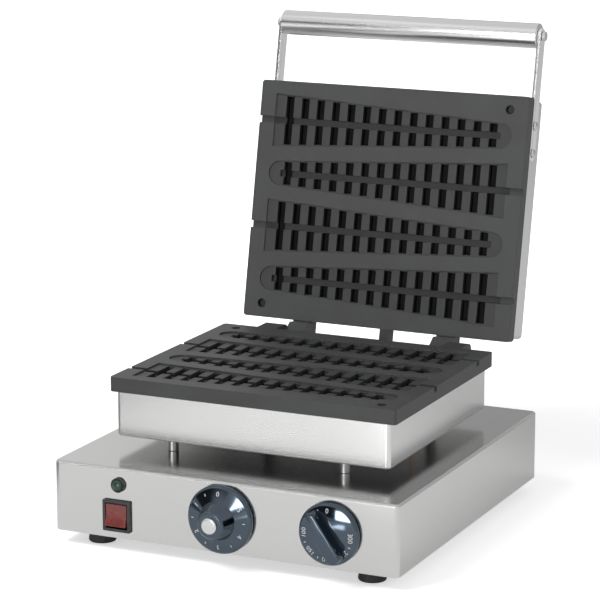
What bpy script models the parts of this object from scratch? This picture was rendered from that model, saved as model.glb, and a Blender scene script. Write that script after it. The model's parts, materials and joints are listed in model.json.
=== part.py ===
"""Waffle stick maker for the countertop, at rest with its lid open.

A folded steel base holds the controls and carries a steel pan on four posts. A cast plate with four
tapered moulds lies on the pan. Its twin closes the bottom of a steel cover, which swings on two
hinges and has a tube handle between two flat arms. Metres, +Z up, front at -Y. The origin lies on
the table, under the middle of the whole machine.
"""

from math import cos, pi, radians, sin, tan

import bmesh
import bpy
from mathutils import Matrix, Vector

# Fits, and the fineness of round shapes
GAP = 0.0003
OVERRUN = 0.003
MERGE = 0.00001
ROUND_SIDES = 24
MIDDLE_SIDES = 16
SMALL_SIDES = 12
CORNER_STEPS = 3
HEX_SIDES = 6

# Folded base and its bottom plate
BASE_WIDTH = 0.330
BASE_DEPTH = 0.336
BASE_HEIGHT = 0.064
BASE_SHEET = 0.0012
BASE_CORNER_RADIUS = 0.005
BASE_EDGE_RADIUS = 0.0025
BASE_FLANGE = 0.032
BOTTOM_SHEET = 0.001
BOTTOM_SETBACK = 0.005

# Rubber feet
FOOT_HEIGHT = 0.0109
FOOT_RADIUS = 0.0125
FOOT_TAPER = 0.0015
FOOT_INSET_X = 0.034
FOOT_INSET_Y = 0.025
FOOT_FLOOR = 0.0025

# Small screws, the handle's thicker ones, and the rivets
SCREW_RADIUS = 0.002
SCREW_HEAD_RADIUS = 0.0038
SCREW_HEAD_HEIGHT = 0.0022
SCREW_GRIP = 0.004
BOLT_RADIUS = 0.0025
BOLT_HEAD_RADIUS = 0.0046
BOLT_HEAD_HEIGHT = 0.003
RIVET_RADIUS = 0.0025
RIVET_HEAD_RADIUS = 0.0046
RIVET_HEAD_HEIGHT = 0.0022
RIVET_TAIL_RADIUS = 0.004
RIVET_TAIL_HEIGHT = 0.0012

# Posts between the base and the pan
POST_HEIGHT = 0.0109
POST_RADIUS = 0.005
POST_INSET_X = 0.0485
POST_INSET_Y = 0.0155

# Cooking plates, alike below and above
PLATE_WIDTH = 0.277
PLATE_DEPTH = 0.231
PLATE_THICKNESS = 0.0133
PLATE_CORNER_RADIUS = 0.003
PLATE_FRONT_SETBACK = 0.0553
CLOSED_GAP = 0.0004

# Moulds in each plate: a shallow tree, its branches as pockets, its trunk as the stick's channel
MOULDS = 4
MOULD_PITCH = 0.0514
WIDE_MARGIN = 0.016
TIP_MARGIN = 0.0145
WIDE_HALF = 0.0258
TIP_HALF = 0.012
RECESS_DEPTH = 0.0015
POCKETS = 14
POCKET_PITCH = 0.0163
POCKET_LENGTH = 0.0086
POCKET_DEPTH = 0.008
POCKET_DRAFT = 0.0008
FIRST_POCKET = 0.015
CHANNEL_HALF = 0.0033
CHANNEL_DEPTH = 0.005
TIP_STEPS = 8

# Pan under the lower plate and cover over the upper one
PAN_HEIGHT = 0.0404
COVER_HEIGHT = 0.040
PAN_SHEET = 0.001
PAN_CORNER_RADIUS = 0.004
PAN_EDGE_RADIUS = 0.002
OVERHANG_X = 0.006
OVERHANG_Y = 0.0015

# Plate screws in two corners
PLATE_SCREW_INSET_X = 0.0187
PLATE_SCREW_INSET_Y = 0.0133
COUNTERBORE_DEPTH = 0.007

# Heating element, its clamp plate and the insulation
HEATER_RADIUS = 0.00425
HEATER_RUNS = 4
HEATER_RUN_PITCH = 0.050
HEATER_INSET = 0.0265
HEATER_COLD_END = 0.006
CLAMP_INSET_X = 0.0485
CLAMP_INSET_Y = 0.0295
CLAMP_SHEET = 0.002
CLAMP_SCREW_GRIP = 0.0035
INSULATION_SIDE_GAP = 0.009
WELL_RADIUS = 0.0055

# Hinges and the lid's stop
OPEN_ANGLE = radians(101.6)
HINGE_BACK = 0.0202
HINGE_DROP = 0.0165
PIN_RADIUS = 0.004
PIN_HEAD_RADIUS = 0.0062
PIN_HEAD_LENGTH = 0.003
KNUCKLE_RADIUS = 0.0095
KNUCKLE_WIDTH = 0.020
KNUCKLE_CORNER = 0.006
LUG_INSET = 0.0635
LUG_WIDTH = 0.020
LUG_RADIUS = 0.009
LUG_SETBACK = 0.0015
LUG_HEEL = 0.010
LUG_TOP_RISE = 0.012
ROOT_DEPTH = 0.006
ROOT_INSET = 0.001
TONGUE_X = 0.0115
TONGUE_WIDTH = 0.010
TONGUE_LENGTH = 0.0145
STOP_SHEET = 0.003
STOP_WIDTH = 0.016
STOP_LEG = 0.028
STOP_LIP = 0.004
STOP_SCREW_SHARE = 0.4

# Handle
ARM_THICKNESS = 0.003
ARM_WIDTH = 0.015
ARM_OVERLAP = 0.058
ARM_RIVET_SPACING = 0.026
ARM_HEIGHT = 0.028
HANDLE_RADIUS = 0.012
HANDLE_WALL = 0.0012
HANDLE_END_WALL = 0.004
HANDLE_REACH = 0.059

# Controls on the front panel; heights are above the base's lower edge
TIMER_X = 0.0005
TIMER_HEIGHT = 0.0315
TIMER_RADIUS = 0.0305
TIMER_BODY_RADIUS = 0.024
TIMER_BODY_DEPTH = 0.032
TIMER_GRIP_RADIUS = 0.0125
TIMER_GRIP_FOOT_RADIUS = 0.017
TIMER_GRIP_HEIGHT = 0.0245
TIMER_CAP_RADIUS = 0.0072
TIMER_CAP_HEIGHT = 0.0022
THERMOSTAT_INSET = 0.062
THERMOSTAT_HEIGHT = 0.0320
THERMOSTAT_RADIUS = 0.0275
THERMOSTAT_BODY_WIDTH = 0.038
THERMOSTAT_BODY_HEIGHT = 0.034
THERMOSTAT_BODY_DEPTH = 0.030
THERMOSTAT_BOSS_RADIUS = 0.0125
BAR_LENGTH = 0.049
BAR_WIDTH = 0.012
BAR_HEIGHT = 0.0225
BAR_ANGLE = radians(-55)
SKIRT_THICKNESS = 0.0065
SKIRT_RIM = 0.0018
SKIRT_RISE = 0.0022
SKIRT_STAND = 0.0012
SHAFT_RADIUS = 0.003
SHAFT_IN = 0.020
SHAFT_OUT = 0.0175
BUSHING_RADIUS = 0.005
BUSHING_OUT = 0.0050
PANEL_NUT_RADIUS = 0.0078
PANEL_NUT_HEIGHT = 0.003

# Rocker switch
SWITCH_INSET = 0.063
SWITCH_HEIGHT = 0.0205
SWITCH_BEZEL_WIDTH = 0.027
SWITCH_BEZEL_HEIGHT = 0.0285
SWITCH_BEZEL = 0.0024
SWITCH_LIP = 0.0028
SWITCH_WALL = 0.0011
SWITCH_DEPTH = 0.022
ROCKER_RISE = 0.0042
ROCKER_VALLEY = 0.0016
ROCKER_KEEL = 0.006
ROCKER_KEEL_SHARE = 0.5
ROCKER_PIVOT_IN = 0.003
ROCKER_SIDE_GAP = 0.0006
ROCKER_END_GAP = 0.0016
ROCK_ANGLE = radians(16)

# Pilot lamp
LAMP_INSET = 0.0647
LAMP_HEIGHT = 0.0488
LAMP_RADIUS = 0.0066
LAMP_RIM = 0.0012
LAMP_BEZEL = 0.0024
LAMP_SEAT = 0.0008
LAMP_BARREL_RADIUS = 0.0046
LAMP_DEPTH = 0.022
LENS_RISE = 0.0028

# Thermostat's bulb and capillary
BULB_RADIUS = 0.003
BULB_LENGTH = 0.080
BULB_START = 0.012
CAPILLARY_RADIUS = 0.001
CAPILLARY_INSET = 0.0275
CAPILLARY_SIDE = 0.002
CAPILLARY_BEND = 0.010
CAPILLARY_EXIT_SHARE = 0.25

# Mains inlet: gland in the rear wall and terminal block on the bottom plate
GLAND_INSET = 0.065
GLAND_HEIGHT = 0.030
GLAND_RADIUS = 0.009
GLAND_NECK_RADIUS = 0.0065
GLAND_BORE_RADIUS = 0.0038
GLAND_OUT = 0.012
GLAND_IN = 0.010
GLAND_NUT_RADIUS = 0.0105
GLAND_NUT_HEIGHT = 0.0035
TERMINAL_WIDTH = 0.044
TERMINAL_DEPTH = 0.018
TERMINAL_HEIGHT = 0.016
TERMINAL_WAYS = 3
TERMINAL_HOLE_RADIUS = 0.0025
TERMINAL_INSET_Y = 0.062

# Heights above the table
BOTTOM_Z = FOOT_HEIGHT + GAP
BASE_Z = BOTTOM_Z + BOTTOM_SHEET + GAP
BASE_TOP = BASE_Z + BASE_HEIGHT
PAN_Z = BASE_TOP + POST_HEIGHT + 2 * GAP
PAN_TOP = PAN_Z + PAN_HEIGHT
PLATE_Z = PAN_TOP + GAP
PARTING_Z = PLATE_Z + PLATE_THICKNESS

# Places along the depth, from the middle of the base
PLATE_Y = -BASE_DEPTH / 2 + PLATE_FRONT_SETBACK + PLATE_DEPTH / 2
HINGE_Y = PLATE_Y + PLATE_DEPTH / 2 + HINGE_BACK
HINGE_Z = PARTING_Z - HINGE_DROP
STOP_SCREW_Z = HINGE_Z - STOP_LEG * (1 - STOP_SCREW_SHARE)
PANEL_Y = -BASE_DEPTH / 2
REAR_Y = BASE_DEPTH / 2

# Places across the width, each from the nearer side of the base
THERMOSTAT_X = BASE_WIDTH / 2 - THERMOSTAT_INSET
SWITCH_X = SWITCH_INSET - BASE_WIDTH / 2
LAMP_X = LAMP_INSET - BASE_WIDTH / 2
GLAND_X = GLAND_INSET - BASE_WIDTH / 2

# Sizes that the pan and the cover share, and what follows the plates' and the pan's sizes
PAN_WIDTH = PLATE_WIDTH - 2 * OVERHANG_X
PAN_DEPTH = PLATE_DEPTH - 2 * OVERHANG_Y
POST_X = PAN_WIDTH / 2 - POST_INSET_X
CAPILLARY_X = PAN_WIDTH / 2 - CAPILLARY_INSET
LUG_CENTRE_X = PLATE_WIDTH / 2 - LUG_INSET
HEATER_REACH = PLATE_WIDTH / 2 - HEATER_INSET
CLAMP_WIDTH = PLATE_WIDTH - 2 * CLAMP_INSET_X
CLAMP_DEPTH = PLATE_DEPTH - 2 * CLAMP_INSET_Y
PIN_HOLE = PIN_RADIUS + GAP
POST_PLACES = [
    (side * POST_X, PLATE_Y + end * (PAN_DEPTH / 2 - POST_INSET_Y)) for end in (-1, 1) for side in (-1, 1)
]
FOOT_PLACES = [
    (side * (BASE_WIDTH / 2 - FOOT_INSET_X), end * (BASE_DEPTH / 2 - FOOT_INSET_Y))
    for end in (-1, 1)
    for side in (-1, 1)
]
CORNER_NAMES = ("front_left", "front_right", "rear_left", "rear_right")
SIDE_NAMES = ("left", "right")

# The lid in its own frame: the hinge axis is its origin, and it is drawn closed
LID_FACE = HINGE_DROP + CLOSED_GAP
LID_PLATE_Y = -HINGE_BACK - PLATE_DEPTH / 2
COVER_Z = LID_FACE + PLATE_THICKNESS + GAP
COVER_TOP = COVER_Z + COVER_HEIGHT
COVER_FRONT = LID_PLATE_Y - PAN_DEPTH / 2
HANDLE_Y = -HINGE_BACK - PLATE_DEPTH - HANDLE_REACH
HANDLE_Z = LID_FACE + ARM_HEIGHT


def opened(y, z):
    """Where a point of the closed lid, seen from the hinge axis, lies when the lid is open."""
    return (y * cos(OPEN_ANGLE) + z * sin(OPEN_ANGLE), -y * sin(OPEN_ANGLE) + z * cos(OPEN_ANGLE))


# The whole machine's reach to the rear and front, whose middle is the origin
COVER_REACH = opened(COVER_FRONT + PAN_EDGE_RADIUS, COVER_TOP - PAN_EDGE_RADIUS)[0] + PAN_EDGE_RADIUS
TUBE_REACH = opened(HANDLE_Y, HANDLE_Z)[0] + HANDLE_RADIUS
REAR_REACH = max(HINGE_Y + COVER_REACH, HINGE_Y + TUBE_REACH, REAR_Y + GLAND_OUT)
FRONT_REACH = BASE_DEPTH / 2 + max(TIMER_GRIP_HEIGHT + GAP + TIMER_CAP_HEIGHT, BAR_HEIGHT)
ORIGIN_Y = (REAR_REACH - FRONT_REACH) / 2

FINISHES = {
    "brushed_steel": ((0.62, 0.62, 0.61), 0.34, 1.0),
    "dull_steel": ((0.45, 0.45, 0.45), 0.5, 1.0),
    "chrome": ((0.80, 0.80, 0.80), 0.12, 1.0),
    "nonstick": ((0.060, 0.062, 0.060), 0.55, 0.0),
    "rubber": ((0.02, 0.02, 0.02), 0.8, 0.0),
    "black_plastic": ((0.03, 0.03, 0.032), 0.4, 0.0),
    "red_plastic": ((0.45, 0.03, 0.02), 0.35, 0.0),
    "green_lens": ((0.03, 0.30, 0.14), 0.2, 0.0),
    "wool": ((0.75, 0.73, 0.66), 0.95, 0.0),
    "copper": ((0.72, 0.40, 0.25), 0.35, 1.0),
    "ceramic": ((0.80, 0.78, 0.72), 0.6, 0.0),
}


def clear_scene():
    for obj in list(bpy.data.objects):
        bpy.data.objects.remove(obj, do_unlink=True)


def new_collection(name):
    collection = bpy.data.collections.new(name)
    bpy.context.scene.collection.children.link(collection)
    return collection


clear_scene()
PARTS = new_collection("waffle_stick_maker")
CUTTERS = new_collection("cutters")


def material(name, finish):
    """A plain material of its own for one piece."""
    colour, roughness, metallic = FINISHES[finish]
    made = bpy.data.materials.new(name)
    made.use_nodes = True
    shader = made.node_tree.nodes["Principled BSDF"]
    shader.inputs["Base Color"].default_value = (*colour, 1)
    shader.inputs["Roughness"].default_value = roughness
    shader.inputs["Metallic"].default_value = metallic
    made.diffuse_color = (*colour, 1)
    return made


def empty(name, location, rotation=(0, 0, 0), parent=None):
    frame = bpy.data.objects.new(name, None)
    frame.location = location
    frame.rotation_euler = rotation
    frame.parent = parent
    PARTS.objects.link(frame)
    return frame


def settle(obj, parent, at=(0, 0, 0), turn=(0, 0, 0)):
    obj.parent = parent
    obj.location = at
    obj.rotation_euler = turn
    return obj


def as_part(obj, finish, smooth=True):
    """Shows a made object as a part, with its own material."""
    for holder in obj.users_collection:
        holder.objects.unlink(obj)
    PARTS.objects.link(obj)
    obj.data.materials.clear()
    obj.data.materials.append(material(f"{obj.name}_{finish}", finish))
    if smooth and obj.type == "MESH":
        obj.data.shade_smooth()
        obj.data.set_sharp_from_angle(angle=radians(35))
    return obj


def as_cutter(obj):
    for holder in obj.users_collection:
        holder.objects.unlink(obj)
    CUTTERS.objects.link(obj)
    obj.hide_render = True
    obj.display_type = "WIRE"
    return obj


def mesh_object(name, bm):
    mesh = bpy.data.meshes.new(name)
    bm.to_mesh(mesh)
    bm.free()
    obj = bpy.data.objects.new(name, mesh)
    CUTTERS.objects.link(obj)
    return obj


def boolean(obj, other, operation="DIFFERENCE"):
    modifier = obj.modifiers.new(other.name, "BOOLEAN")
    modifier.operation = operation
    modifier.solver = "EXACT"
    modifier.object = as_cutter(other)
    return obj


def baked(obj):
    """The mesh of an object as its modifiers or its curve settings leave it; the object goes."""
    bpy.context.view_layer.update()
    graph = bpy.context.evaluated_depsgraph_get()
    mesh = bpy.data.meshes.new_from_object(obj.evaluated_get(graph))
    bpy.data.objects.remove(obj, do_unlink=True)
    bm = bmesh.new()
    bm.from_mesh(mesh)
    bmesh.ops.remove_doubles(bm, verts=bm.verts, dist=MERGE)
    bm.to_mesh(mesh)
    bm.free()
    return mesh


def repeated(name, mesh, places):
    """One object that holds a copy of the mesh at each matrix in places."""
    bm = bmesh.new()
    for place in places:
        before = len(bm.verts)
        bm.from_mesh(mesh)
        bm.verts.ensure_lookup_table()
        bmesh.ops.transform(bm, matrix=place, verts=bm.verts[before:])
    bmesh.ops.recalc_face_normals(bm, faces=bm.faces)
    return mesh_object(name, bm)


def block(name, width, depth, height, corner=0.0, steps=CORNER_STEPS):
    """A block on the XY plane, centred, with its upright edges rounded if corner is over 0."""
    bm = bmesh.new()
    size = Matrix.Diagonal((width, depth, height, 1))
    bmesh.ops.create_cube(bm, size=1, matrix=Matrix.Translation((0, 0, height / 2)) @ size)
    if corner > 0:
        upright = [e for e in bm.edges if abs(e.verts[0].co.z - e.verts[1].co.z) > height / 2]
        bmesh.ops.bevel(
            bm, geom=upright, offset=corner, segments=steps, profile=0.5, affect="EDGES", material=-1
        )
    return mesh_object(name, bm)


def cylinder(name, radius, length, sides=ROUND_SIDES):
    """A cylinder that stands on the XY plane."""
    bm = bmesh.new()
    bmesh.ops.create_cone(
        bm,
        cap_ends=True,
        segments=sides,
        radius1=radius,
        radius2=radius,
        depth=length,
        matrix=Matrix.Translation((0, 0, length / 2)),
    )
    return mesh_object(name, bm)


def turned(name, profile, sides=ROUND_SIDES):
    """A turned piece: (radius, height) points down its outer side. A profile off the axis is closed."""
    bm = bmesh.new()
    points = [bm.verts.new((radius, 0, height)) for radius, height in profile]
    for first, second in zip(points, points[1:]):
        bm.edges.new((first, second))
    if profile[0][0] > 0:
        bm.edges.new((points[-1], points[0]))
    obj = mesh_object(name, bm)
    screw = obj.modifiers.new("turn", "SCREW")
    screw.axis = "Z"
    screw.steps = screw.render_steps = sides
    screw.use_merge_vertices = True
    screw.merge_threshold = MERGE
    return obj


def tube(name, points, radius):
    """A round bar along the points."""
    curve = bpy.data.curves.new(name, "CURVE")
    curve.dimensions = "3D"
    curve.bevel_depth = radius
    curve.bevel_resolution = 2
    curve.use_fill_caps = True
    spline = curve.splines.new("POLY")
    spline.points.add(len(points) - 1)
    for target, point in zip(spline.points, points):
        target.co = (*point, 1)
    obj = bpy.data.objects.new(name, curve)
    CUTTERS.objects.link(obj)
    return obj


def flat_mesh(name, outline, thickness):
    """The mesh of a flat outline in the XY plane, half its thickness to each side."""
    curve = bpy.data.curves.new(name, "CURVE")
    curve.dimensions = "2D"
    curve.fill_mode = "BOTH"
    curve.extrude = thickness / 2
    spline = curve.splines.new("POLY")
    spline.points.add(len(outline) - 1)
    for target, point in zip(spline.points, outline):
        target.co = (*point, 0, 1)
    spline.use_cyclic_u = True
    obj = bpy.data.objects.new(name, curve)
    CUTTERS.objects.link(obj)
    return baked(obj)


def flat_piece(name, outline, thickness):
    mesh = flat_mesh(name, outline, thickness)
    return repeated(name, mesh, [Matrix.Identity(4)])


def arc(centre, radius, start, end, steps):
    """Points on an arc, with its angles in radians."""
    angles = [start + (end - start) * step / steps for step in range(steps + 1)]
    return [(centre[0] + radius * cos(a), centre[1] + radius * sin(a)) for a in angles]


def rounded_path(corners, radius, steps=CORNER_STEPS + 1):
    """A path through the corners, with an arc of this radius at each one inside it."""
    corners = [Vector(corner) for corner in corners]
    path = [corners[0]]
    for before, corner, after in zip(corners, corners[1:], corners[2:]):
        heading = (corner - before).normalized()
        leaving = (after - corner).normalized()
        turn = heading.angle(leaving)
        inward = (leaving - heading * leaving.dot(heading)).normalized()
        start = corner - heading * radius * tan(turn / 2)
        centre = start + inward * radius
        for step in range(steps + 1):
            angle = turn * step / steps
            point = centre - inward * radius * cos(angle) + heading * radius * sin(angle)
            if (point - path[-1]).length > MERGE:
                path.append(point)
    path.append(corners[-1])
    return path


def at(x=0.0, y=0.0, z=0.0, turn=0.0, axis="X"):
    """A place, with a turn about one axis."""
    return Matrix.Translation((x, y, z)) @ Matrix.Rotation(turn, 4, axis)


# Turns an outline drawn in (y, z) upright, with its thickness along X
UPRIGHT = (pi / 2, 0, pi / 2)
UPRIGHT_MATRIX = Matrix.Rotation(pi / 2, 4, "Z") @ Matrix.Rotation(pi / 2, 4, "X")


def headed_screw(name, length, radius, head_radius, head_height, sides=SMALL_SIDES):
    """A screw with its shank down the -Z axis and the underside of its head on the XY plane."""
    profile = [(0, head_height), (head_radius, head_height), (head_radius, 0), (radius, 0)]
    profile += [(radius, -length), (0, -length)]
    return baked(turned(name, profile, sides))


def small_screw(name, length):
    return headed_screw(name, length, SCREW_RADIUS, SCREW_HEAD_RADIUS, SCREW_HEAD_HEIGHT)


def pieces(name, endings, mesh, places, parent, finish):
    """One part for each place in the parent's frame, all of one mesh."""
    for ending, place in zip(endings, places):
        piece = repeated(f"{name}_{ending}", mesh, [Matrix.Identity(4)])
        as_part(settle(piece, parent, place.to_translation(), place.to_euler()), finish)


def dome(radius, foot, rise):
    """Profile points of a low dome, from its top to its foot."""
    return [(0, foot + rise)] + [(radius * cos(a), foot + rise * sin(a)) for a in (pi / 3, pi / 6, 0)]


def hex_nut(name, radius, bore, height):
    """The mesh of a hexagonal nut that stands on the XY plane."""
    nut = cylinder(name, radius, height, HEX_SIDES)
    hole = cylinder(f"{name}_bore", bore, height + 2 * OVERRUN, SMALL_SIDES)
    hole.location.z = -OVERRUN
    return baked(boolean(nut, hole))


def holes(name, radius, length, places, sides=SMALL_SIDES):
    """Drills that stand centred on their places along Z."""
    drill = baked(cylinder(name, radius, length, sides))
    centred = Matrix.Translation((0, 0, -length / 2))
    return repeated(name, drill, [place @ centred for place in places])


def tray(name, width, depth, height, corner, edge, sheet, closed=False):
    """A folded sheet tray with its closed face up and its bends rounded, open below unless closed."""
    shape = block(name, width, depth, height, corner)
    bm = bmesh.new()
    bm.from_mesh(shape.data)
    rim = [e for e in bm.edges if all(abs(v.co.z - height) < MERGE for v in e.verts)]
    bmesh.ops.bevel(
        bm, geom=rim, offset=edge, segments=CORNER_STEPS, profile=0.5, affect="EDGES", material=-1
    )
    if not closed:
        floor = [f for f in bm.faces if all(abs(v.co.z) < MERGE for v in f.verts)]
        bmesh.ops.delete(bm, geom=floor, context="FACES")
    bm.to_mesh(shape.data)
    bm.free()
    wall = shape.modifiers.new("sheet", "SOLIDIFY")
    wall.thickness = sheet
    wall.offset = -1
    wall.use_even_offset = True
    return shape


# Frames: everything hangs on the machine's middle, and each moving piece on its axis
MIDDLE = empty("machine_middle", (0, -ORIGIN_Y, 0))
LID = empty("lid_axis", (0, HINGE_Y, HINGE_Z), (-OPEN_ANGLE, 0, 0), MIDDLE)
TIMER = empty("timer_axis", (TIMER_X, PANEL_Y, BASE_Z + TIMER_HEIGHT), (pi / 2, 0, 0), MIDDLE)
THERMOSTAT = empty(
    "thermostat_axis", (THERMOSTAT_X, PANEL_Y, BASE_Z + THERMOSTAT_HEIGHT), (pi / 2, 0, 0), MIDDLE
)
SWITCH = empty("switch_place", (SWITCH_X, PANEL_Y, BASE_Z + SWITCH_HEIGHT), (pi / 2, 0, 0), MIDDLE)
ROCKER = empty("rocker_axis", (0, 0, -ROCKER_PIVOT_IN), (-ROCK_ANGLE / 2, 0, 0), SWITCH)
LAMP = empty("lamp_place", (LAMP_X, PANEL_Y, BASE_Z + LAMP_HEIGHT), (pi / 2, 0, 0), MIDDLE)
GLAND = empty("gland_place", (GLAND_X, REAR_Y, BASE_Z + GLAND_HEIGHT), (-pi / 2, 0, 0), MIDDLE)


def switch_inside():
    """Width and height inside the switch's bezel."""
    return SWITCH_BEZEL_WIDTH - 2 * SWITCH_LIP, SWITCH_BEZEL_HEIGHT - 2 * SWITCH_LIP


def panel_cutters():
    """Everything that is cut from the base's front, rear, top and floor, from its lower edge."""
    through = 2 * BASE_SHEET + 2 * OVERRUN
    upright = pi / 2
    knobs = [
        at(TIMER_X, PANEL_Y, TIMER_HEIGHT, upright),
        at(THERMOSTAT_X, PANEL_Y, THERMOSTAT_HEIGHT, upright),
    ]
    yield holes("shaft_drill", BUSHING_RADIUS + GAP, through, knobs, ROUND_SIDES)
    lamp_place = [at(LAMP_X, PANEL_Y, LAMP_HEIGHT, upright)]
    yield holes("lamp_drill", LAMP_BARREL_RADIUS + GAP, through, lamp_place, MIDDLE_SIDES)
    gland_place = [at(GLAND_X, REAR_Y, GLAND_HEIGHT, upright)]
    yield holes("gland_drill", GLAND_NECK_RADIUS + GAP, through, gland_place, MIDDLE_SIDES)
    yield holes("post_drill", RIVET_RADIUS + GAP, through, [at(x, y, BASE_HEIGHT) for x, y in POST_PLACES])
    yield holes("capillary_drill", 2 * CAPILLARY_RADIUS, through, [at(CAPILLARY_X, PLATE_Y, BASE_HEIGHT)])
    yield holes("flange_drill", SCREW_RADIUS + GAP, through, [at(x, y) for x, y in FOOT_PLACES])
    width, height = (size + 2 * (SWITCH_WALL + GAP) for size in switch_inside())
    window = block("switch_window", width, through, height)
    window.location = (SWITCH_X, PANEL_Y, SWITCH_HEIGHT - height / 2)
    yield window
    opening = block(
        "base_opening", BASE_WIDTH - 2 * BASE_FLANGE, BASE_DEPTH - 2 * BASE_FLANGE, BASE_SHEET + 2 * OVERRUN
    )
    opening.location.z = -OVERRUN
    yield opening


def base_shell():
    """The folded base: four walls and the top, with a flange turned in at the bottom."""
    shell = tray(
        "base_shell",
        BASE_WIDTH,
        BASE_DEPTH,
        BASE_HEIGHT,
        BASE_CORNER_RADIUS,
        BASE_EDGE_RADIUS,
        BASE_SHEET,
        closed=True,
    )
    for cutter in panel_cutters():
        boolean(shell, settle(cutter, MIDDLE, Vector(cutter.location) + Vector((0, 0, BASE_Z))))
    as_part(settle(shell, MIDDLE, (0, 0, BASE_Z)), "brushed_steel")


def bottom_plate():
    """The flat plate that closes the base from below."""
    plate = block(
        "bottom_plate", BASE_WIDTH - 2 * BOTTOM_SETBACK, BASE_DEPTH - 2 * BOTTOM_SETBACK, BOTTOM_SHEET
    )
    spots = [at(x, y) for x, y in FOOT_PLACES]
    drill = holes("bottom_drill", SCREW_RADIUS + GAP, 2 * (BOTTOM_SHEET + OVERRUN), spots)
    boolean(plate, settle(drill, MIDDLE, (0, 0, BOTTOM_Z)))
    as_part(settle(plate, MIDDLE, (0, 0, BOTTOM_Z)), "dull_steel")


def feet():
    """Four turned rubber feet. A screw in each holds it and the bottom plate to the base's flange."""
    recess = SCREW_HEAD_RADIUS + 2 * GAP
    bore = SCREW_RADIUS + GAP
    profile = [(bore, FOOT_HEIGHT), (FOOT_RADIUS - FOOT_TAPER, FOOT_HEIGHT)]
    profile += [(FOOT_RADIUS, FOOT_TAPER), (FOOT_RADIUS - FOOT_TAPER / 2, 0), (recess, 0)]
    profile += [(recess, FOOT_HEIGHT - FOOT_FLOOR), (bore, FOOT_HEIGHT - FOOT_FLOOR)]
    for corner, (x, y) in zip(CORNER_NAMES, FOOT_PLACES):
        as_part(settle(turned(f"foot_{corner}", profile, MIDDLE_SIDES), MIDDLE, (x, y, 0)), "rubber")
    screw = small_screw("foot_screw", FOOT_FLOOR + BOTTOM_SHEET + SCREW_GRIP)
    places = [at(x, y, FOOT_HEIGHT - FOOT_FLOOR - GAP, pi) for x, y in FOOT_PLACES]
    pieces("foot_screw", CORNER_NAMES, screw, places, MIDDLE, "dull_steel")


def posts():
    """Four posts from the base to the pan, riveted over inside each."""
    body_top = GAP + POST_HEIGHT
    tail_top = body_top + 2 * GAP + PAN_SHEET
    tail_low = -BASE_SHEET - GAP
    profile = [(0, tail_top + RIVET_TAIL_HEIGHT), (RIVET_TAIL_RADIUS, tail_top + RIVET_TAIL_HEIGHT)]
    profile += [(RIVET_TAIL_RADIUS, tail_top), (RIVET_RADIUS, tail_top), (RIVET_RADIUS, body_top)]
    profile += [(POST_RADIUS, body_top), (POST_RADIUS, GAP), (RIVET_RADIUS, GAP), (RIVET_RADIUS, tail_low)]
    profile += [(RIVET_TAIL_RADIUS, tail_low), (RIVET_TAIL_RADIUS, tail_low - RIVET_TAIL_HEIGHT)]
    profile += [(0, tail_low - RIVET_TAIL_HEIGHT)]
    for corner, (x, y) in zip(CORNER_NAMES, POST_PLACES):
        post = turned(f"post_{corner}", profile, MIDDLE_SIDES)
        as_part(settle(post, MIDDLE, (x, y, BASE_TOP)), "brushed_steel")


def lower_pan():
    """The folded pan under the lower plate."""
    pan = tray("lower_pan", PAN_WIDTH, PAN_DEPTH, PAN_HEIGHT, PAN_CORNER_RADIUS, PAN_EDGE_RADIUS, PAN_SHEET)
    pan.data.transform(Matrix.Translation((0, 0, PAN_HEIGHT)) @ Matrix.Rotation(pi, 4, "X"))
    through = 2 * PAN_SHEET + 2 * OVERRUN
    drill = holes("pan_drill", RIVET_RADIUS + GAP, through, [at(x, y) for x, y in POST_PLACES])
    boolean(pan, settle(drill, MIDDLE, (0, 0, PAN_Z)))
    entry = holes("pan_entry", 2 * CAPILLARY_RADIUS, through, [at(CAPILLARY_X, PLATE_Y)])
    boolean(pan, settle(entry, MIDDLE, (0, 0, PAN_Z)))
    corners = [at(x, PLATE_Y + y) for x, y in plate_screw_places()]
    boolean(pan, settle(holes("pan_thread", SCREW_RADIUS + GAP, through, corners), MIDDLE, (0, 0, PAN_Z)))
    stop = [at(TONGUE_X, PLATE_Y + PAN_DEPTH / 2, STOP_SCREW_Z, pi / 2)]
    boolean(pan, settle(holes("stop_drill", SCREW_RADIUS + GAP, through, stop), MIDDLE))
    as_part(settle(pan, MIDDLE, (0, PLATE_Y, PAN_Z)), "brushed_steel")


def row_ways():
    """Each mould's middle and the side that its wide end points to, from the front."""
    for row in range(MOULDS):
        yield (row - (MOULDS - 1) / 2) * MOULD_PITCH, -1 if row % 2 == 0 else 1


def half_width(along):
    """Half the tree's width at this distance from its wide end."""
    straight = PLATE_WIDTH - WIDE_MARGIN - TIP_MARGIN - TIP_HALF
    return WIDE_HALF + (TIP_HALF - WIDE_HALF) * along / straight


def tree_outline():
    """The mould's outline, wide end towards +X, with its rounded tip."""
    wide = PLATE_WIDTH / 2 - WIDE_MARGIN
    tip = -PLATE_WIDTH / 2 + TIP_MARGIN + TIP_HALF
    return [(wide, -WIDE_HALF), (wide, WIDE_HALF), *arc((tip, 0), TIP_HALF, pi / 2, 3 * pi / 2, TIP_STEPS)]


def frustum(bm, low, high, floor, top):
    """A block whose rectangle (x0, x1, y0, y1) differs between its floor and its top."""
    made = bmesh.ops.create_cube(bm, size=2)
    for vert in made["verts"]:
        x0, x1, y0, y1 = high if vert.co.z > 0 else low
        x = x1 if vert.co.x > 0 else x0
        y = y1 if vert.co.y > 0 else y0
        vert.co = (x, y, top if vert.co.z > 0 else floor)


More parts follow.
